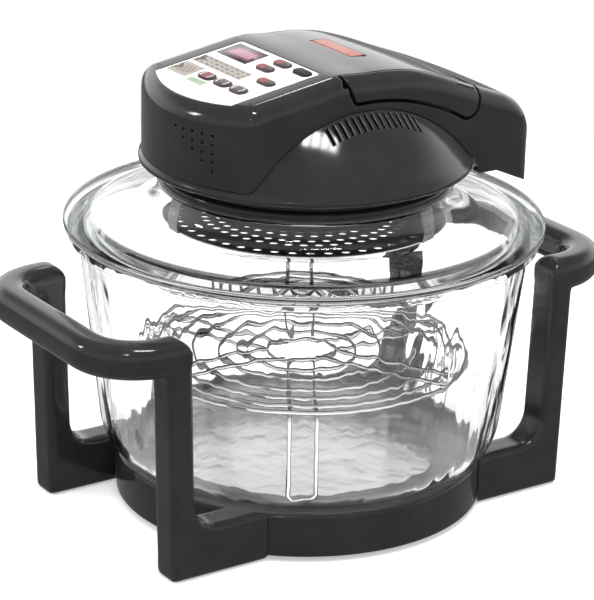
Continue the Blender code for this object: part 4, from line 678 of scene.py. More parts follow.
def grow(outline, amount):
    """An outline moved outwards, or inwards if the amount is negative."""
    area = sum(a[0] * b[1] - b[0] * a[1] for a, b in zip(outline, outline[1:] + outline[:1]))
    side = 1 if area > 0 else -1
    result = []
    size = len(outline)
    for index in range(size):
        before, here, after = (Vector(outline[(index + k) % size]) for k in (-1, 0, 1))
        first, second = (here - before).normalized(), (after - here).normalized()
        normal = Vector((first.y + second.y, -first.x - second.x)).normalized() * side
        lean = normal.dot(Vector((first.y, -first.x))) * side
        result.append(tuple(here + normal * amount / max(lean, CORNER_STRETCH_LIMIT)))
    return result


def turned(profile, steps=TURN_STEPS, closed=True):
    """A solid of revolution about Z from a profile of (radius, height) points."""
    shape = bmesh.new()
    verts = [shape.verts.new((r, 0, z)) for r, z in profile]
    edges = [shape.edges.new(pair) for pair in zip(verts, verts[1:])]
    if closed:
        edges.append(shape.edges.new((verts[-1], verts[0])))
    bmesh.ops.spin(shape, geom=verts + edges, cent=(0, 0, 0), axis=(0, 0, 1), angle=math.tau,
                   steps=steps, use_merge=True)
    bmesh.ops.remove_doubles(shape, verts=shape.verts, dist=WELD)
    bmesh.ops.recalc_face_normals(shape, faces=shape.faces)
    return shape


def slab(outline, low, high, matrix=Matrix(), bevel=0.0, segments=4):
    """An outline made solid between two heights, its rims rounded."""
    shape = bmesh.new()
    face = shape.faces.new([shape.verts.new((u, v, low)) for u, v in outline])
    made = bmesh.ops.extrude_face_region(shape, geom=[face])
    top = [item for item in made["geom"] if isinstance(item, bmesh.types.BMVert)]
    bmesh.ops.translate(shape, verts=top, vec=(0, 0, high - low))
    if bevel:
        rims = [edge for edge in shape.edges
                if abs(edge.verts[0].co.z - edge.verts[1].co.z) < WELD]
        bmesh.ops.bevel(shape, geom=rims, offset=bevel, segments=segments, profile=0.5,
                        affect="EDGES", material=-1)
    bmesh.ops.recalc_face_normals(shape, faces=shape.faces)
    shape.transform(matrix)
    return shape


def rod(radius, low, high, steps, matrix=Matrix()):
    """A round bar along the local Z axis between two heights."""
    shape = bmesh.new()
    bmesh.ops.create_cone(shape, cap_ends=True, segments=steps, radius1=radius, radius2=radius,
                          depth=high - low)
    shape.transform(matrix @ Matrix.Translation((0, 0, (low + high) / 2)))
    return shape


def block(low, high):
    """A box between two corners."""
    shape = bmesh.new()
    bmesh.ops.create_cube(shape, size=1.0)
    size = [b - a for a, b in zip(low, high)]
    middle = [(a + b) / 2 for a, b in zip(low, high)]
    shape.transform(Matrix.Translation(middle) @ Matrix.Diagonal((*size, 1)))
    return shape


def mesh_of(shapes):
    """One mesh of several shapes; the shapes are freed."""
    shapes = shapes if isinstance(shapes, list) else [shapes]
    whole = bmesh.new()
    for shape in shapes:
        part = bpy.data.meshes.new("part")
        shape.to_mesh(part)
        shape.free()
        whole.from_mesh(part)
        bpy.data.meshes.remove(part)
    mesh = bpy.data.meshes.new("shape")
    whole.to_mesh(mesh)
    whole.free()
    return mesh


def shape_of(piece):
    """A piece's mesh as a shape; the piece is removed."""
    shape = bmesh.new()
    shape.from_mesh(piece.data)
    bpy.data.objects.remove(piece)
    return shape


def cut_from(name, body, *tools):
    """A shape with others cut from it, one after another."""
    return carved(name, body, [("DIFFERENCE", tool) for tool in tools])


def mirrored(shape):
    """A shape and its mirror image in the plane X = 0."""
    other = shape.copy()
    other.transform(Matrix.Diagonal((-1, 1, 1, 1)))
    bmesh.ops.reverse_faces(other, faces=other.faces)
    return [shape, other]


def in_scene(name, mesh):
    """An object for a mesh."""
    piece = bpy.data.objects.new(name, mesh)
    bpy.context.scene.collection.objects.link(piece)
    return piece


def settled(piece, name):
    """The piece as one plain mesh with its modifiers applied."""
    bpy.context.view_layer.update()
    seen = piece.evaluated_get(bpy.context.evaluated_depsgraph_get())
    mesh = bpy.data.meshes.new_from_object(seen)
    bpy.data.objects.remove(piece)
    return in_scene(name, mesh)


def carved(name, body, steps):
    """A shape with others cut from it, joined to it or kept inside; steps are (operation, shapes)."""
    piece = in_scene(name, mesh_of(body))
    for index, (operation, shapes) in enumerate(steps):
        tool = in_scene(f"{name}_tool_{index}", mesh_of(shapes))
        modifier = piece.modifiers.new("carve", "BOOLEAN")
        modifier.operation = operation
        modifier.solver = "EXACT"
        modifier.object = tool
        piece = settled(piece, name + "_made")
        bpy.data.objects.remove(tool)
    piece.name = name
    return piece


def finish_piece(piece, material, body, slot, nodes=(), angle=SHARP_ANGLE):
    """Shading, material, the body that carries the piece and the solids that it stands for."""
    piece.data.materials.clear()
    piece.data.materials.append(material)
    piece.data.shade_smooth()
    piece.data.set_sharp_from_angle(angle=math.radians(angle))
    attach(piece, body)
    if nodes:
        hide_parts(*nodes)


def add_piece(name, shapes, *finish):
    """A finished piece made of shapes."""
    finish_piece(in_scene(name, mesh_of(shapes)), *finish)


def repaint(node, material):
    """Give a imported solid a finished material."""
    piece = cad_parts[node]
    piece.data.materials.clear()
    piece.data.materials.append(material)


def wires(name, paths, cyclic):
    """Round wires of the rack along lists of points, as one shape."""
    curve = bpy.data.curves.new(name, "CURVE")
    curve.dimensions = "3D"
    curve.bevel_depth = RACK_WIRE_R
    curve.bevel_resolution = RACK_WIRE_DETAIL
    curve.use_fill_caps = True
    for path in paths:
        spline = curve.splines.new("POLY")
        spline.points.add(len(path) - 1)
        for point, place in zip(spline.points, path):
            point.co = (*place, 1)
        spline.use_cyclic_u = cyclic
    shape = shape_of(settled(in_scene(name + "_line", curve), name))
    bmesh.ops.remove_doubles(shape, verts=shape.verts, dist=WELD)
    bmesh.ops.recalc_face_normals(shape, faces=shape.faces)
    return shape


# Stage


def direction(azimuth, elevation):
    """A unit vector from two angles in degrees."""
    a, e = math.radians(azimuth), math.radians(elevation)
    return Vector((math.cos(a) * math.cos(e), math.sin(a) * math.cos(e), math.sin(e)))


def make_surroundings():
    """A white studio; gloss shows it dim but for a pale band, and glass shows it with a dark belt high up."""
    world = bpy.data.worlds.new("studio")
    bpy.context.scene.world = world
    world.use_nodes = True
    tree = world.node_tree
    tree.nodes.clear()
    place = add_node(tree, "TexCoord").outputs["Generated"]
    up = height_on(tree, place)
    facing = add_node(tree, "VectorMath", {0: place, 1: direction(*BAND_MIDDLE)}, "DOT_PRODUCT")
    side = ramp_between(tree, facing.outputs["Value"], *BAND_SIDE)
    band = combined(tree, "MINIMUM", ramp_between(tree, up, *BAND_FOOT), ramp_between(tree, up, *BAND_HEAD))
    mirrored_light = combined(tree, "ADD", combined(tree, "MULTIPLY", band, side), ROOM_DIM)
    passed_light = combined(tree, "MAXIMUM", ramp_between(tree, up, *BELT_FOOT),
                            ramp_between(tree, up, *BELT_HEAD))

    white = {"Color": (1, 1, 1, 1)}
    path = add_node(tree, "LightPath")
    shade = add_node(tree, "Background", white).outputs["Background"]
    for ray, strength in (("Is Diffuse Ray", ROOM_LIGHT), ("Is Glossy Ray", mirrored_light),
                          ("Is Transmission Ray", passed_light)):
        light = add_node(tree, "Background", {**white, "Strength": strength})
        sockets = {"Fac": path.outputs[ray], 1: shade, 2: light.outputs["Background"]}
        shade = add_node(tree, "MixShader", sockets).outputs["Shader"]
    add_node(tree, "OutputWorld", {"Surface": shade})


def make_table():
    """The white table top, which is dim in reflections."""
    floor = in_scene("table_top", mesh_of(rod(TABLE_R, *TABLE_Z, TABLE_STEPS)))
    white = plain("table_white", TABLE_COLOUR, TABLE_ROUGHNESS)
    shader = shader_of(white)
    shader.inputs["Specular IOR Level"].default_value = 0.0
    shader.inputs["Emission Color"].default_value = (1, 1, 1, 1)
    tree = white.node_tree
    rays = add_node(tree, "LightPath").outputs
    glow = ramp_between(tree, rays["Is Diffuse Ray"], 0.0, 1.0, TABLE_GLOW, 0.0)
    feed_shader(white, "Emission Strength", glow)
    dim = add_node(tree, "Emission", {"Strength": ROOM_DIM})
    straight = combined(tree, "SUBTRACT", rays["Is Glossy Ray"], rays["Is Transmission Ray"])
    sockets = {"Fac": straight, 1: shader.outputs["BSDF"], 2: dim.outputs["Emission"]}
    mix = add_node(tree, "MixShader", sockets)
    tree.links.new(mix.outputs["Shader"], tree.nodes["Material Output"].inputs["Surface"])
    floor.data.materials.append(white)


def hang_lamp(name, place, size, power, mirrored_too):
    """A flat lamp that looks at the oven."""
    lamp = bpy.data.lights.new(name, "AREA")
    lamp.shape = "RECTANGLE"
    lamp.size, lamp.size_y = size
    lamp.energy = power
    holder = bpy.data.objects.new(name, lamp)
    bpy.context.scene.collection.objects.link(holder)
    holder.location = place
    aim = OVEN_MIDDLE - Vector(place)
    holder.rotation_euler = aim.to_track_quat("-Z", "Y").to_euler()
    holder.visible_camera = False
    holder.visible_glossy = mirrored_too
    holder.visible_transmission = False
    return holder


def make_lamps():
    """Ceiling tubes in a row, small lamps around, and a soft fill that shows in no reflection."""
    across = Matrix.Rotation(math.radians(TUBES_TURN), 4, "Z")
    for index in range(TUBE_COUNT):
        step = (index - (TUBE_COUNT - 1) / 2) * TUBE_PITCH
        place = OVEN_MIDDLE + direction(*TUBES_PLACE) * TUBES_DISTANCE + across @ Vector((step, 0, 0))
        holder = hang_lamp(f"ceiling_tube_{index + 1}", place, TUBE_SIZE, TUBE_POWER, True)
        holder.rotation_euler = across.to_euler()
    for name, (angles, size, power) in SHOWN_LAMPS.items():
        hang_lamp(name, OVEN_MIDDLE + direction(*angles) * LAMP_DISTANCE, size, power, True)
    for name, (place, size, power) in FILL_LAMPS.items():
        hang_lamp(name, place, size, power, False)


def make_stage():
    """Table, surroundings, lamps and camera."""
    scene = bpy.context.scene
    scene.view_settings.view_transform = "Standard"
    make_surroundings()
    make_table()
    make_lamps()

    camera = bpy.data.cameras.new("camera")
    camera.lens = VIEW_LENS
    camera.sensor_width = VIEW_SENSOR
    camera.clip_end = VIEW_REACH
    eye = bpy.data.objects.new("camera", camera)
    scene.collection.objects.link(eye)
    back = Vector((math.sin(VIEW_YAW) * math.cos(VIEW_PITCH), -math.cos(VIEW_YAW) * math.cos(VIEW_PITCH),
                   math.sin(VIEW_PITCH)))
    right = Vector((math.cos(VIEW_YAW), math.sin(VIEW_YAW), 0))
    up = back.cross(right)
    c, s = math.cos(VIEW_ROLL), math.sin(VIEW_ROLL)
    across, above = right * c + up * s, up * c - right * s
    turn = Matrix((across, above, back)).transposed().to_4x4()
    spot = Matrix.Translation((0, -VIEW_DISTANCE, VIEW_HEIGHT))
    eye.matrix_world = Matrix.Rotation(math.pi / 2 - VIEW_TURN, 4, "Z") @ spot @ turn
    scene.camera = eye


# Stand


def make_ring(material):
    """The ring that the bowl stands in."""
    inner_r = RING_R - RING_LIP
    under = LEDGE_Z - RING_WALL
    points = [(RING_R, RING_TOP_Z), (RING_R, RING_LOW_Z), (RING_R - RING_WALL, RING_LOW_Z),
              (RING_R - RING_WALL, under), (LEDGE_INNER_R + RING_WALL, under),
              (LEDGE_INNER_R + RING_WALL, RING_LOW_Z), (LEDGE_INNER_R, RING_LOW_Z),
              (LEDGE_INNER_R, LEDGE_Z), (inner_r - RING_LIP_SLOPE, LEDGE_Z), (inner_r, RING_TOP_Z)]
    radii = [0.0028, 0.0012, 0.0008, 0.001, 0.001, 0.0008, 0.0008, 0.001, 0.0015, 0.001]
    add_piece("stand_ring", turned(eased(points, radii)), material, "stand", "black_gloss", ["base_ring"])


def bar_shape():
    """The bar of a frame, rounded all along."""
    mid_x, half = FRAME_HALF_W - LEG_W / 2, LEG_W / 2
    centre = (mid_x - BAR_BEND_R, BAR_REACH_Y - half - BAR_BEND_R)
    start = LEG_TOP_Y - LEG_DEPTH
    outer_points, inner_points = BAR_BEND_POINTS
    outer = [(mid_x + half, start)] + arc(centre, BAR_BEND_R + half, 0, 90, outer_points)
    inner = [(mid_x - half, start)] + arc(centre, BAR_BEND_R - half, 0, 90, inner_points)
    outer += [(-x, y) for x, y in outer[::-1]]
    inner += [(-x, y) for x, y in inner[::-1]]
    low = BAR_TOP_Z - BAR_H
    return slab(outer + inner[::-1], low, BAR_TOP_Z, Matrix(), BAR_EDGE_R, BAR_EDGE_SEGMENTS)


def leg_shape(x):
    """One leg with its arm."""
    lean = (LEG_TOP_Y - LEG_FOOT_Y) / BAR_TOP_Z
    inner_foot = LEG_FOOT_Y - LEG_DEPTH
    top_z = BAR_TOP_Z - BAR_H / 2
    fillet_z = ARM_TOP_Z + ARM_FILLET_R
    fillet_y = inner_foot + lean * fillet_z - ARM_FILLET_R
    outline = [(ARM_INNER_Y, 0), (LEG_FOOT_Y, 0), (LEG_FOOT_Y + lean * top_z, top_z),
               (inner_foot + lean * top_z, top_z)]
    outline += arc((fillet_y, fillet_z), ARM_FILLET_R, 0, -90, ARM_FILLET_POINTS)
    outline += [(ARM_INNER_Y, ARM_TOP_Z)]
    return slab(outline, x - LEG_W / 2, x + LEG_W / 2, ALONG_X, LEG_EDGE_R)


def make_frame(side, node, material):
    """One handle frame, its joints blended as on a moulding."""
    mid_x = FRAME_HALF_W - LEG_W / 2
    shapes = [bar_shape(), leg_shape(-mid_x), leg_shape(mid_x)]
    if side < 0:
        for shape in shapes:
            shape.transform(Matrix.Diagonal((1, -1, 1, 1)))
            bmesh.ops.reverse_faces(shape, faces=shape.faces)
    piece = in_scene(node + "_form", mesh_of(shapes))
    remesh = piece.modifiers.new("blend", "REMESH")
    remesh.mode = "VOXEL"
    remesh.voxel_size = FRAME_VOXEL
    ease = piece.modifiers.new("ease", "SMOOTH")
    ease.factor, ease.iterations = FRAME_EASE
    shape = shape_of(settled(piece, node + "_form"))
    well = rod(RING_R + GAP, -OVERRUN, ARM_TOP_Z + OVERRUN, TURN_STEPS)
    piece = cut_from(node.replace("_frame", "_grip"), shape, well)
    finish_piece(piece, material, "stand", "black_gloss", [node], ROUND_SHARP_ANGLE)


# Bowl and rack


def bowl_wall_r(height, inset=0.0):
    """Radius of the tapered wall at a height."""
    return BOWL_RIM_R - (BOWL_TOP_Z - height) * BOWL_TAPER - inset


def bowl_corner(inset):
    """The round corner between the wall and the flat bottom, from the wall down."""
    lean = math.atan(BOWL_TAPER)
    centre_z = BOWL_LOW_Z + BOWL_CORNER_R
    centre_r = bowl_wall_r(centre_z) - BOWL_CORNER_R / math.cos(lean)
    start = -math.degrees(lean)
    return arc((centre_r, centre_z), BOWL_CORNER_R - inset, start, -90, BOWL_CORNER_POINTS)


def make_bowl(material):
    """The glass bowl."""
    flange_z = BOWL_TOP_Z - BOWL_FLANGE_T
    inner_z, outer_z = BOWL_RIM_STARTS
    points = [(bowl_wall_r(inner_z, BOWL_WALL), inner_z), (bowl_wall_r(BOWL_TOP_Z, BOWL_WALL), BOWL_TOP_Z),
              (BOWL_FLANGE_R, BOWL_TOP_Z), (BOWL_FLANGE_R, flange_z), (bowl_wall_r(flange_z), flange_z),
              (bowl_wall_r(outer_z), outer_z)]
    radii = [0, 0.0015, 0.0022, 0.0022, 0.0012, 0]
    rim = eased(points, radii, closed=False)
    profile = [(0, BOWL_LOW_Z + BOWL_WALL)] + bowl_corner(BOWL_WALL)[::-1] + rim
    profile += bowl_corner(0) + [(0, BOWL_LOW_Z)]
    bowl = turned(profile, closed=False)
    add_piece("oven_bowl", bowl, material, "bowl", "clear_glass", ["glass_bowl"], ROUND_SHARP_ANGLE)


def rack_wire(long_leg):
    """One bent wire: in from the inner ring, out to the edge, and round a leg or a hook."""
    half = RACK_PAIR_HALF
    inner_x = math.sqrt((RACK_R * RACK_RING_SHARES[0]) ** 2 - half ** 2)
    sign = -1 if long_leg else 1
    wire_z = RACK_Z + sign * RACK_SINK
    end_z = RACK_LEG_LOW_Z if long_leg else RACK_Z + RACK_HOOK_H
    turn_in = (RACK_R - RACK_BEND_R, wire_z + sign * RACK_BEND_R)
    turn_over = (half - RACK_BEND_R, end_z - sign * RACK_BEND_R)
    side = [(inner_x, half, wire_z)]
    side += [(x, half, z) for x, z in arc(turn_in, RACK_BEND_R, -90 * sign, 0, RACK_BEND_POINTS)]
    side += [(RACK_R, y, z) for y, z in arc(turn_over, RACK_BEND_R, 0, 90 * sign, RACK_BEND_POINTS)]
    return side + [(x, -y, z) for x, y, z in side[::-1]]


def make_rack(material):
    """Wire rack: rings on bent wires, with legs and hooks."""
    rings = []
    for share in RACK_RING_SHARES:
        circle = arc((0, 0), RACK_R * share, 0, 360, RACK_RING_POINTS + 1)[:-1]
        rings.append([(x, y, RACK_Z) for x, y in circle])
    bends = []
    for index in range(RACK_BEND_COUNT):
        place = Matrix.Rotation(math.radians(RACK_TURN + 360.0 * index / RACK_BEND_COUNT), 4, "Z")
        bends.append([tuple(place @ Vector(point)) for point in rack_wire(index % 2 == 0)])
    shapes = [wires("rack_rings", rings, True), wires("rack_bends", bends, False)]
    add_piece("cooking_rack", shapes, material, "rack", "rack_chrome", ["wire_rack"], WIRE_SHARP_ANGLE)


# Lid


def make_lid(material):
    """The glass lid."""
    centre = (NECK_R + NECK_FILLET, NECK_TOP_Z)
    outer = arc(centre, NECK_FILLET, 180, 270, NECK_POINTS)
    inner = arc(centre, NECK_FILLET + LID_WALL, 270, 180, NECK_POINTS)
    rim_top = LID_RIM_Z + LID_RIM_T
    spigot_z = LID_RIM_Z - SPIGOT_H
    spigot_r = bowl_wall_r(BOWL_TOP_Z, BOWL_WALL) - SPIGOT_GAP
    points = [(LID_R - LID_RIM_T, rim_top + LID_RIM_RISE), (LID_R, rim_top), (LID_R, LID_RIM_Z),
              (spigot_r, LID_RIM_Z), (spigot_r, spigot_z), (spigot_r - SPIGOT_W, spigot_z),
              (spigot_r - SPIGOT_W, LID_RIM_Z + LID_RIM_T / 2)]
    radii = [0, 0.0022, 0.0022, 0.0008, 0.001, 0.001, 0.001]
    rim = eased(points, radii, closed=False)
    lid = turned(outer + rim + inner)
    add_piece("oven_lid", lid, material, "lid", "clear_glass", ["glass_lid"], ROUND_SHARP_ANGLE)


def make_collar(material):
    """The black ring between the glass and the head."""
    top = COLLAR_LOW_Z + COLLAR_H
    points = [(COLLAR_R, top), (COLLAR_R, COLLAR_LOW_Z), (COLLAR_INNER_R, COLLAR_LOW_Z),
              (COLLAR_INNER_R, top)]
    radii = [0.0022, 0.0022, 0.0005, 0.0005]
    add_piece("neck_collar", turned(eased(points, radii)), material, "lid", "black_gloss", ["lid_collar"])


def make_guard(material):
    """The perforated pan under the heater, with a bead round its edge."""
    top = GUARD_Z + GUARD_T
    points = [(0, top), (GUARD_R - GUARD_T, top), (GUARD_R - GUARD_T, top + GUARD_RIM_H),
              (GUARD_R, top + GUARD_RIM_H), (GUARD_R, GUARD_Z), (0, GUARD_Z)]
    radii = [0, 0.002, 0.0004, 0.0004, 0.0025, 0]
    pan = turned(eased(points, radii, closed=False), GUARD_STEPS, False)
    low, high = GUARD_Z - OVERRUN / 2, top + OVERRUN / 2
    holes = []
    for radius, count in GUARD_ROWS:
        for step in range(count):
            place = Matrix.Rotation(math.tau * step / count, 4, "Z") @ Matrix.Translation((radius, 0, 0))
            holes.append(rod(GUARD_HOLE_R, low, high, GUARD_HOLE_STEPS, place))
    finish_piece(cut_from("oven_guard", pan, holes), material, "lid", "guard_black", ["heater_guard"])
    middle = (GUARD_R, GUARD_Z + GUARD_T / 2)
    edge = arc(middle, GUARD_BEAD_R, 0, 360, GUARD_BEAD_POINTS + 1)[:-1]
    add_piece("guard_bead", turned(edge, GUARD_STEPS), polished_metal("bead_steel"), "lid", "guard_black")


def make_straps():
    """The three bent straps that hang the guard."""
    inner = GUARD_R + GUARD_BEAD_R
    bend_z = GUARD_Z + STRAP_BEND_H
    top_r = inner - STRAP_LEAN
    top_z = COLLAR_LOW_Z - STRAP_TOP_GAP
    outline = [(inner, GUARD_Z), (inner + STRAP_T, GUARD_Z), (inner + STRAP_T, bend_z),
               (top_r + STRAP_T, top_z), (top_r, top_z), (inner, bend_z)]
    upright = Matrix.Rotation(math.radians(90), 4, "X")
    straps = []
    for index in range(STRAP_COUNT):
        place = Matrix.Rotation(math.radians(STRAP_TURN + 360.0 * index / STRAP_COUNT), 4, "Z")
        straps.append(slab(outline, -STRAP_W / 2, STRAP_W / 2, place @ upright))
    nodes = [f"guard_bracket_{index + 1}" for index in range(STRAP_COUNT)]
    # The straps' steel is darkened as painted shade
    add_piece("guard_straps", straps, polished_metal("strap_steel_painted_shade"), "lid", "sheet_steel", nodes)


# Head


def dome_line(grow_by=0.0):
    """The dome's outer surface from its top edge down to its foot."""
    points = arc_between(DOME_TOP, DOME_FOOT, DOME_ARC_R, DOME_ARC_POINTS)
    result = []
    for index, point in enumerate(points):
        after = Vector(points[min(index + 1, DOME_ARC_POINTS - 1)])
        before = Vector(points[max(index - 1, 0)])
        along = (after - before).normalized()
        result.append(tuple(Vector(point) + Vector((-along.y, along.x)) * grow_by))
    return result


def make_dome(material):
    """The dome of the head with its vents."""
    neck_in = SHELL_NECK_R - SHELL_WALL
    low = COLLAR_LOW_Z + COLLAR_H + GAP
    top_z = DOME_TOP[1]
    points = [DOME_FOOT, (SHELL_LIP_R, SHELL_LIP_Z + SHELL_LIP_T), (SHELL_LIP_R, SHELL_LIP_Z),
              (SHELL_NECK_R, SHELL_LIP_Z), (SHELL_NECK_R, low)]
    radii = [0, 0.0018, 0.0012, 0.0006, 0]
    lip = eased(points, radii, closed=False)
    profile = [(DOME_OPENING_R, top_z)] + dome_line() + lip[1:]
    profile += [(neck_in, low), (neck_in, SHELL_LIP_Z + SHELL_WALL)] + dome_line(-SHELL_WALL)[::-1]
    profile += [(DOME_OPENING_R, top_z - SHELL_WALL)]
    vents = []
    first, last = VENT_Y
    inner_x, outer_x = VENT_X
    for step in range(VENT_COUNT):
        y = first + (last - first) * step / (VENT_COUNT - 1)
        low_corner = (inner_x, y - VENT_W / 2, DOME_FOOT[1])
        vents += mirrored(block(low_corner, (outer_x, y + VENT_W / 2, top_z + OVERRUN)))
    dome = cut_from("head_dome", turned(profile), vents)
    finish_piece(dome, material, "lid", "black_gloss", ["head_lower_shell"])


def between(t, span, start, end, start_slope, end_slope):
    """Height on a smooth curve between two places, at a share of the span."""
    return (start * (2 * t ** 3 - 3 * t ** 2 + 1) + end * (3 * t ** 2 - 2 * t ** 3)
            + start_slope * span * (t ** 3 - 2 * t ** 2 + t) + end_slope * span * (t ** 3 - t ** 2))


def back_height(y):
    """Height of the cover's back behind its crest."""
    length = COVER_REAR_Y - CREST_Y
    drop = CREST_Z - REAR_EDGE_Z
    table = [(CREST_Y + length * a, CREST_Z - drop * b) for a, b in BACK_SHARES]
    slopes = [0.0]
    for before, after in zip(table, table[2:]):
        slopes.append((after[1] - before[1]) / (after[0] - before[0]))
    slopes.append((table[-1][1] - table[-2][1]) / (table[-1][0] - table[-2][0]))
    index = max(i for i in range(len(table) - 1) if i == 0 or y > table[i][0])
    (y0, z0), (y1, z1) = table[index], table[index + 1]
    return between((y - y0) / (y1 - y0), y1 - y0, z0, z1, slopes[index], slopes[index + 1])


def top_height(y):
    """Height of the cover's top along its middle."""
    panel_y, panel_z = PANEL_REAR
    if y <= panel_y:
        return panel_z + (y - panel_y) * PANEL_SLOPE
    if y <= CREST_Y:
        span = CREST_Y - panel_y
        return between((y - panel_y) / span, span, panel_z, CREST_Z, PANEL_SLOPE, 0.0)
    into = max(y - (COVER_REAR_Y - COVER_REAR_ROUND_L), 0.0) / COVER_REAR_ROUND_L
    return back_height(y) - COVER_REAR_ROUND_H * (1 - math.sqrt(max(1 - into ** 2, 0.0)))


def crown_drop(x, y):
    """How far the top behind the panel falls away sideways."""
    t = min(max((y - PANEL_REAR[0]) / (CREST_Y - PANEL_REAR[0]), 0.0), 1.0)
    return CROWN_DROP * t * t * (3 - 2 * t) * (x / COVER_HALF_W) ** 2


def cover_plan():
    """The cover's plan, all round."""
    corner_x = COVER_HALF_W - COVER_FRONT_CORNER
    corner_y = -math.sqrt((COVER_FRONT_R - COVER_FRONT_CORNER) ** 2 - corner_x ** 2)
    lean = math.degrees(math.atan2(corner_y, corner_x))
    rear_x = COVER_HALF_W - COVER_REAR_CORNER
    rear_y = COVER_REAR_Y - COVER_REAR_BOW - COVER_REAR_CORNER
    half = arc((0, 0), COVER_FRONT_R, -90, lean, COVER_FRONT_POINTS)
    half += arc((corner_x, corner_y), COVER_FRONT_CORNER, lean, 0, COVER_CORNER_POINTS)[1:]
    half += arc((rear_x, rear_y), COVER_REAR_CORNER, 0, 90, COVER_CORNER_POINTS)
    half += [(rear_x * share, COVER_REAR_Y - COVER_REAR_BOW * share ** 2) for share in COVER_REAR_SHARES]
    return half + [(-x, y) for x, y in half[1:-1][::-1]]


def cut_through(shape, place, normal, **fit):
    """Divide a shape's faces where a plane crosses them."""
    whole = shape.verts[:] + shape.edges[:] + shape.faces[:]
    bmesh.ops.bisect_plane(shape, geom=whole, plane_co=place, plane_no=normal, **fit)


def cover_form():
    """The cover before anything is cut from it: a block with a rounded rim, bent to the top line."""
    shape = bmesh.new()
    face = shape.faces.new([shape.verts.new((x, y, COVER_FLOOR_Z)) for x, y in cover_plan()])
    made = bmesh.ops.extrude_face_region(shape, geom=[face])
    top = [item for item in made["geom"] if isinstance(item, bmesh.types.BMVert)]
    bmesh.ops.translate(shape, verts=top, vec=(0, 0, CREST_Z - COVER_FLOOR_Z))
    rims = [edge for edge in shape.edges if all(v.co.z > CREST_Z - WELD for v in edge.verts)]
    bmesh.ops.bevel(shape, geom=rims, offset=COVER_SHOULDER_R, segments=COVER_SHOULDER_SEGMENTS,
                    profile=0.5, affect="EDGES", material=-1)
    for step in range(1, COVER_CUTS):
        y = (COVER_REAR_Y + COVER_FRONT_R) * step / COVER_CUTS - COVER_FRONT_R
        cut_through(shape, (0, y, 0), (0, 1, 0), dist=WELD)
    for step in range(-COVER_SIDE_CUTS, COVER_SIDE_CUTS + 1):
        cut_through(shape, (step * COVER_CUT_X, 0, 0), (1, 0, 0), dist=WELD)
    for vert in shape.verts:
        if vert.co.z > COVER_FLOOR_Z + WELD:
            vert.co.z += top_height(vert.co.y) - crown_drop(vert.co.x, vert.co.y) - CREST_Z
    bmesh.ops.recalc_face_normals(shape, faces=shape.faces)
    return shape


def arm_outline():
    """Side view of the carry handle's arm, open to above the cover."""
    middle = arc(PIVOT, ARM_REACH_R - ARM_END_R, ARM_END_ANGLE, 0, 2)[0]
    end = arc(middle, ARM_END_R, ARM_END_ANGLE - 90, ARM_END_ANGLE, ARM_END_POINTS)
    end += arc(PIVOT, ARM_REACH_R, ARM_END_ANGLE, -ARM_END_ANGLE, ARM_END_POINTS)[1:]
    top = end[-1][1]
    corners = [(ARM_FRONT_TOP_Y, top), (ARM_FRONT_TOP_Y, top_height(ARM_FRONT_TOP_Y)), ARM_FRONT_LOW,
               ARM_MID]
    count = ARM_CORNER_POINTS
    front = eased(corners, ARM_CORNER_R, count)[count:count * 3]
    belly = arc_between(front[-1], end[0], ARM_BELLY_R, ARM_BELLY_POINTS)[1:-1]
    return [(ARM_FRONT_TOP_Y, top)] + front + belly + end


def grip_frame():
    """A frame on the cover's back, level with its slope, where the bar lies."""
    step = GRIP_HALF_W
    slope = math.atan2(top_height(GRIP_Y + step) - top_height(GRIP_Y - step), 2 * step)
    return Matrix.Translation((0, GRIP_Y, top_height(GRIP_Y))) @ Matrix.Rotation(slope, 4, "X")


def grip_outline(extra=0.0):
    """Section of the bar in the grip's frame, larger by an extra width."""
    w, t = GRIP_HALF_W, GRIP_HALF_T
    corners = [(-w, GRIP_RISE - t), (w, GRIP_RISE - t), (w, GRIP_RISE + t), (-w, GRIP_RISE + t)]
    outline = eased(corners, GRIP_EDGE_R, GRIP_EDGE_POINTS)
    return grow(outline, extra) if extra else outline


def bent_bar(outline, half_length):
    """A bar across the cover's back that drops toward its ends."""
    bar = slab(outline, -half_length, half_length, grip_frame() @ ALONG_X)
    for step in range(1, GRIP_BENDS):
        cut_through(bar, (half_length * (2 * step / GRIP_BENDS - 1), 0, 0), (1, 0, 0))
    for corner in bar.verts:
        corner.co.z -= GRIP_SAG * (corner.co.x / GRIP_HALF_L) ** 2
    return bar


def pivot_frame():
    """The carry handle's pivot, with local Z along X."""
    return Matrix.Translation((0, *PIVOT)) @ ALONG_X


def panel_frame():
    """A frame on the sloping panel: X across, Y up the slope, Z out of the panel."""
    return Matrix.Translation((0, *PANEL_REAR)) @ Matrix.Rotation(PANEL_TILT, 4, "X")


def up_slope(y):
    """Distance along the panel of a place given by its Y."""
    return (y - PANEL_REAR[0]) / math.cos(PANEL_TILT)


def panel_outline(extra=0.0):
    """Outline of the keypad plate in the panel's frame; its front edge is an arc."""
    half = PANEL_HALF_W
    lean = math.degrees(math.acos(half / PANEL_FRONT_R))
    edge = arc((0, 0), PANEL_FRONT_R, -180 + lean, -lean, PANEL_FRONT_POINTS)
    front = [(x, up_slope(y)) for x, y in edge]
    corners = [(half, front[-1][1]), (half, 0), (-half, 0), (-half, front[0][1])]
    rear = eased(corners, PANEL_CORNER)[CORNER_POINTS:CORNER_POINTS * 3]
    return grow(front + rear, extra) if extra else front + rear


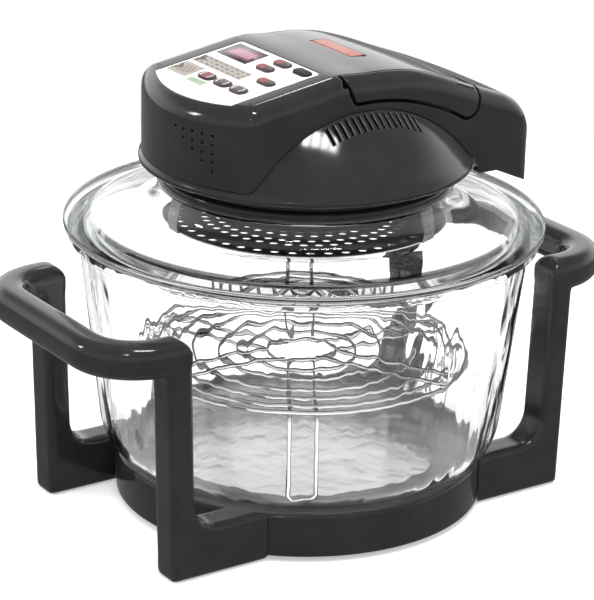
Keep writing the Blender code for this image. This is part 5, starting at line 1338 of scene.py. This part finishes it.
def make_cover(material):
    """The arched top cover with the pockets of the carry handle."""
    wide = COVER_HALF_W + OVERRUN
    deep = COVER_FLOOR_Z - OVERRUN
    far_front, far_rear = -COVER_FRONT_R - OVERRUN, COVER_REAR_Y + OVERRUN
    under = [(far_front, deep), (far_rear, deep), (far_rear, TAIL_TIP_Z), (COVER_REAR_Y, TAIL_TIP_Z),
             (TAIL_BEND_Y, TAIL_Z), (TAIL_START_Y, TAIL_Z),
             (TAIL_START_Y - (COVER_FRONT_Z - TAIL_Z) / 2, COVER_FRONT_Z), (far_front, COVER_FRONT_Z)]
    lip_top = SHELL_LIP_Z + SHELL_LIP_T + GAP
    space = [(0, DOME_TOP[1] + GAP), (DOME_TOP[0], DOME_TOP[1] + GAP)] + dome_line(GAP)[1:]
    space += [(SHELL_LIP_R + GAP, lip_top), (SHELL_LIP_R + GAP, deep), (0, deep)]
    pocket_x = ARM_INNER_X - POCKET_SIDE_GAP
    rim_x = RELIEF_OUTER_X - POCKET_SIDE_GAP
    low_x, high_x, low_y, high_y = BADGE
    badge_bed = block((low_x - GAP, low_y - GAP, top_height(high_y) - BADGE_RECESS),
                      (high_x + GAP, high_y + GAP, CREST_Z + OVERRUN))
    cover = cut_from("head_cover", cover_form(),
                     slab(under, -wide, wide, ALONG_X),
                     turned(space, closed=False),
                     mirrored(slab(grow(arm_outline(), POCKET_GAP), pocket_x, wide, ALONG_X)),
                     mirrored(rod(RELIEF_R, pocket_x, RELIEF_OUTER_X, RELIEF_STEPS, pivot_frame())),
                     mirrored(rod(RELIEF_RIM_R, rim_x, wide, RELIEF_STEPS, pivot_frame())),
                     bent_bar(grip_outline(TROUGH_GAP), ARM_INNER_X),
                     slab(panel_outline(GAP), -PANEL_RECESS, OVERRUN, panel_frame()),
                     badge_bed,
                     dot_holes())
    finish_piece(cover, material, "lid", "black_gloss", ["head_top_cover"])


def make_handle(material):
    """The folding carry handle."""
    wide = COVER_HALF_W + OVERRUN
    arms = mirrored(slab(arm_outline(), ARM_INNER_X, wide, ALONG_X))
    grip = bent_bar(grip_outline(), GRIP_HALF_L)
    handle = carved("fold_handle", cover_form(), [("INTERSECT", arms), ("UNION", grip)])
    finish_piece(handle, material, "handle", "black_gloss", ["carry_handle"])


def rectangle(box):
    """Corners of a rectangle given by its low and high X and Y on the panel."""
    low_x, high_x, low_y, high_y = box
    return [(low_x, up_slope(low_y)), (high_x, up_slope(low_y)), (high_x, up_slope(high_y)),
            (low_x, up_slope(high_y))]


def oval(size, extra=0.0):
    """Outline of a key about its middle, round at its ends."""
    length, width = size[0] + extra, size[1] + extra
    reach = length - width
    right = arc((reach, 0), width, -90, 90, KEY_END_POINTS)
    return right + arc((-reach, 0), width, 90, 270, KEY_END_POINTS)


def key_frame(place):
    """A key's frame on the panel."""
    return panel_frame() @ Matrix.Translation((place[0], up_slope(place[1]), 0))


def make_plate(material):
    """The printed plate of the keypad with its holes for the keys."""
    plate = slab(panel_outline(), -PANEL_T, 0, panel_frame(), FINE_EDGE_R, 2)
    holes = [slab(oval(place[2], KEY_SLACK), -OVERRUN / 2, OVERRUN / 2, key_frame(place))
             for place in KEYS.values()]
    finish_piece(cut_from("keypad_film", plate, holes), material, "lid", "panel_face", ["keypad_plate"])


def printed(outline, layer):
    """A thin print on the panel, on the plate or on a first print."""
    return slab(outline, PRINT_T * layer, PRINT_T * (layer + 1), panel_frame())


def icon_marks():
    """Lines of small bars in the icon row, long and short in turn."""
    low_x, high_x, low_y, high_y = ICON_ROW
    pitch = (high_x - low_x) / ICON_COLUMNS
    marks = []
    for column in range(ICON_COLUMNS):
        for line in range(ICON_LINES):
            x = low_x + (column + 0.5) * pitch
            y = low_y + (high_y - low_y) * (line + 0.5) / ICON_LINES
            half = ICON_HALF_LENGTHS[(column + line) % 2]
            marks.append(printed(rectangle((x - half, x + half, y - ICON_HALF_W, y + ICON_HALF_W)), 1))
    return marks


def wedge_marks(box):
    """Two nested wedges at the left edge of a printed block."""
    edge_x = box[0] + WEDGE_INSET
    middle = up_slope((box[2] + box[3]) / 2)
    marks = []
    for reach in WEDGE_REACHES:
        wedge, inside = ([(edge_x, middle - reach * half), (edge_x + reach * tip, middle),
                          (edge_x, middle + reach * half)] for half, tip in WEDGE_SHARES)
        marks.append(printed(wedge[:2] + inside[:2][::-1], 1))
        marks.append(printed(inside[1:][::-1] + wedge[1:], 1))
    return marks


def arrow_marks():
    """Arrow strokes in the lower block, each of two halves."""
    low_x, _, low_y, high_y = ARROW_BLOCK
    middle = up_slope((low_y + high_y) / 2)
    arrows = []
    for shift in ARROW_SHIFTS:
        tip_x = low_x + shift
        tail_x = tip_x - ARROW_BACK
        for side in (-1, 1):
            tail_y = middle + side * ARROW_HALF_H
            stroke = [(tip_x, middle), (tail_x, tail_y), (tail_x + ARROW_W, tail_y),
                      (tip_x + ARROW_W, middle)]
            arrows.append(printed(stroke, 1))
    return arrows


def make_print():
    """Plain printed blocks on the keypad plate."""
    beige, dark, brown, green = (soft_solid("print_" + tone) for tone in ("beige", "dark", "brown", "green"))
    blocks = [printed(rectangle(ICON_ROW), 0), printed(rectangle(ARROW_BLOCK), 0)]
    marks = icon_marks() + wedge_marks(ICON_ROW) + wedge_marks(ARROW_BLOCK)
    for name, shapes, material in (("print_blocks", blocks, beige),
                                   ("print_patch", printed(rectangle(GREEN_MARK), 0), green),
                                   ("print_marks", marks, dark),
                                   ("print_arrows", arrow_marks(), brown)):
        add_piece(name, shapes, material, "lid", "panel_face")


def make_window():
    """The display's window: a dark frame with a red field."""
    field = rectangle(WINDOW_GLASS)
    outlines = {"frame": rectangle(WINDOW), "border": grow(field, WINDOW_BORDER), "field": field}
    for layer, outline in outlines.items():
        name, low, high, edge_r, nodes = WINDOW_LAYERS[layer]
        shape = slab(outline, low, high, panel_frame(), edge_r, 2)
        add_piece(name, shape, soft_solid("window_" + layer), "lid", "window_red", nodes)


def key_cap(size, spot):
    """A key's cap, the flange that holds it below the panel, and its stem."""
    low = -PANEL_T - GAP - KEY_FLANGE
    return [slab(oval(size), low, KEY_PROUD, spot, KEY_EDGE_R, 3),
            slab(oval(size, KEY_FLANGE), low, low + KEY_FLANGE, spot),
            rod(KEY_STEM_R, KEY_STEM_LIFT - BOARD_DEPTH, low + GAP, KEY_STEM_STEPS, spot)]


def red_half(name, inner, spot):
    """The red part of a key's face."""
    left, right = RED_MARKS[name]
    half = [(max(x, left), y) for x, y in oval(inner) if x < right]
    half = [(right, inner[1])] + half + [(right, -inner[1])]
    return slab(half, KEY_PROUD - MARK_SINK, KEY_PROUD + RED_MARK_T, spot)


def crescents(inner, spot):
    """The light arcs at both ends of a round key."""
    arcs = []
    for side in (-1, 1):
        outer, inside = (arc((0, 0), inner[1] + extra, -CRESCENT_REACH, CRESCENT_REACH, CRESCENT_POINTS)
                         for extra in CRESCENT_EXTRAS)
        line = [(side * x, y) for x, y in outer + inside[::-1]]
        arcs.append(slab(line, KEY_PROUD - MARK_SINK, KEY_PROUD + CRESCENT_T, spot))
    return arcs


def make_keys():
    """The seven keys: dark caps, four of them with a red half, three with light crescents."""
    finishes = ("key_dark", "key_black", "key_red_mark", "key_light_mark")
    dark, black, red, light = (soft_solid(finish) for finish in finishes)
    for name, place in KEYS.items():
        size = place[2]
        spot = key_frame(place)
        inner = (size[0] - MARK_INSET, size[1] - MARK_INSET)
        slot = "key_red" if name in RED_CAPS else "key_plastic"
        body = black if name == "key_start" else dark
        add_piece(name + "_cap", key_cap(size, spot), body, name, slot, [name])
        if name in RED_MARKS:
            add_piece(name + "_red", red_half(name, inner, spot), red, name, slot)
        if size == KEY_ROUND:
            add_piece(name + "_arcs", crescents(inner, spot), light, name, slot)


def box_outline(half_x, half_y):
    """Corners of a rectangle about its middle."""
    return [(-half_x, -half_y), (half_x, -half_y), (half_x, half_y), (-half_x, half_y)]


def make_badge():
    """A bare plate with a fine border in the place of the label."""
    low_x, high_x, low_y, high_y = BADGE
    floor = top_height(high_y) - BADGE_SINK
    edge, face = soft_solid("badge_edge"), soft_solid("badge_face")
    place = Matrix.Translation((0, (low_y + high_y) / 2, 0))
    half_x, half_y = (high_x - low_x) / 2, (high_y - low_y) / 2
    outline = eased(box_outline(half_x, half_y), BADGE_CORNER)
    plate = slab(outline, floor, floor + BADGE_T, place, FINE_EDGE_R, 2)
    add_piece("label_plate", plate, edge, "lid", "badge_red", ["badge_plate"])
    inner = box_outline(half_x - BADGE_BORDER, half_y - BADGE_BORDER)
    low, high = BADGE_FIELD_T
    field = slab(inner, floor + low, floor + high, place, FINE_EDGE_R / 2, 2)
    add_piece("label_field", field, face, "lid", "badge_red")


def dot_holes():
    """Small round holes in the front face, a triangle of columns with level tops."""
    lie_down = Matrix.Rotation(math.radians(90), 4, "X")
    holes = []
    for column in range(DOT_COLUMNS):
        x = DOT_FIRST_X - column * DOT_PITCH_X
        start = math.sqrt(COVER_FRONT_R ** 2 - x ** 2)
        for row in range(DOT_COLUMNS - column):
            place = Matrix.Translation((x, 0, DOT_TOP_Z - row * DOT_PITCH_Z)) @ lie_down
            holes.append(rod(DOT_R, start - DOT_DEPTH, start + OVERRUN, DOT_STEPS, place))
    return holes


def paint_solids():
    """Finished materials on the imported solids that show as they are."""
    for finish, nodes in SOLID_FINISHES.items():
        material = finish_named(finish)
        for node in nodes:
            repaint(node, material)


def build():
    """Dress the whole oven."""
    make_stage()
    paint_solids()
    black = moulded_black("moulded_black")
    make_ring(black)
    make_frame(-1, "front_handle_frame", black)
    make_frame(1, "rear_handle_frame", black)
    make_bowl(clear_glass("bowl_glass", BOWL_WAVES, BOWL_HAZE))
    make_rack(wire_chrome())
    make_lid(clear_glass("lid_glass", LID_WAVES))
    make_collar(black)
    # The guard is near black as painted shade
    make_guard(soft_solid("guard_black_painted_shade"))
    make_straps()
    make_dome(black)
    make_cover(black)
    make_handle(black)
    make_plate(soft_solid("panel_film"))
    make_print()
    make_window()
    make_keys()
    make_badge()


build()
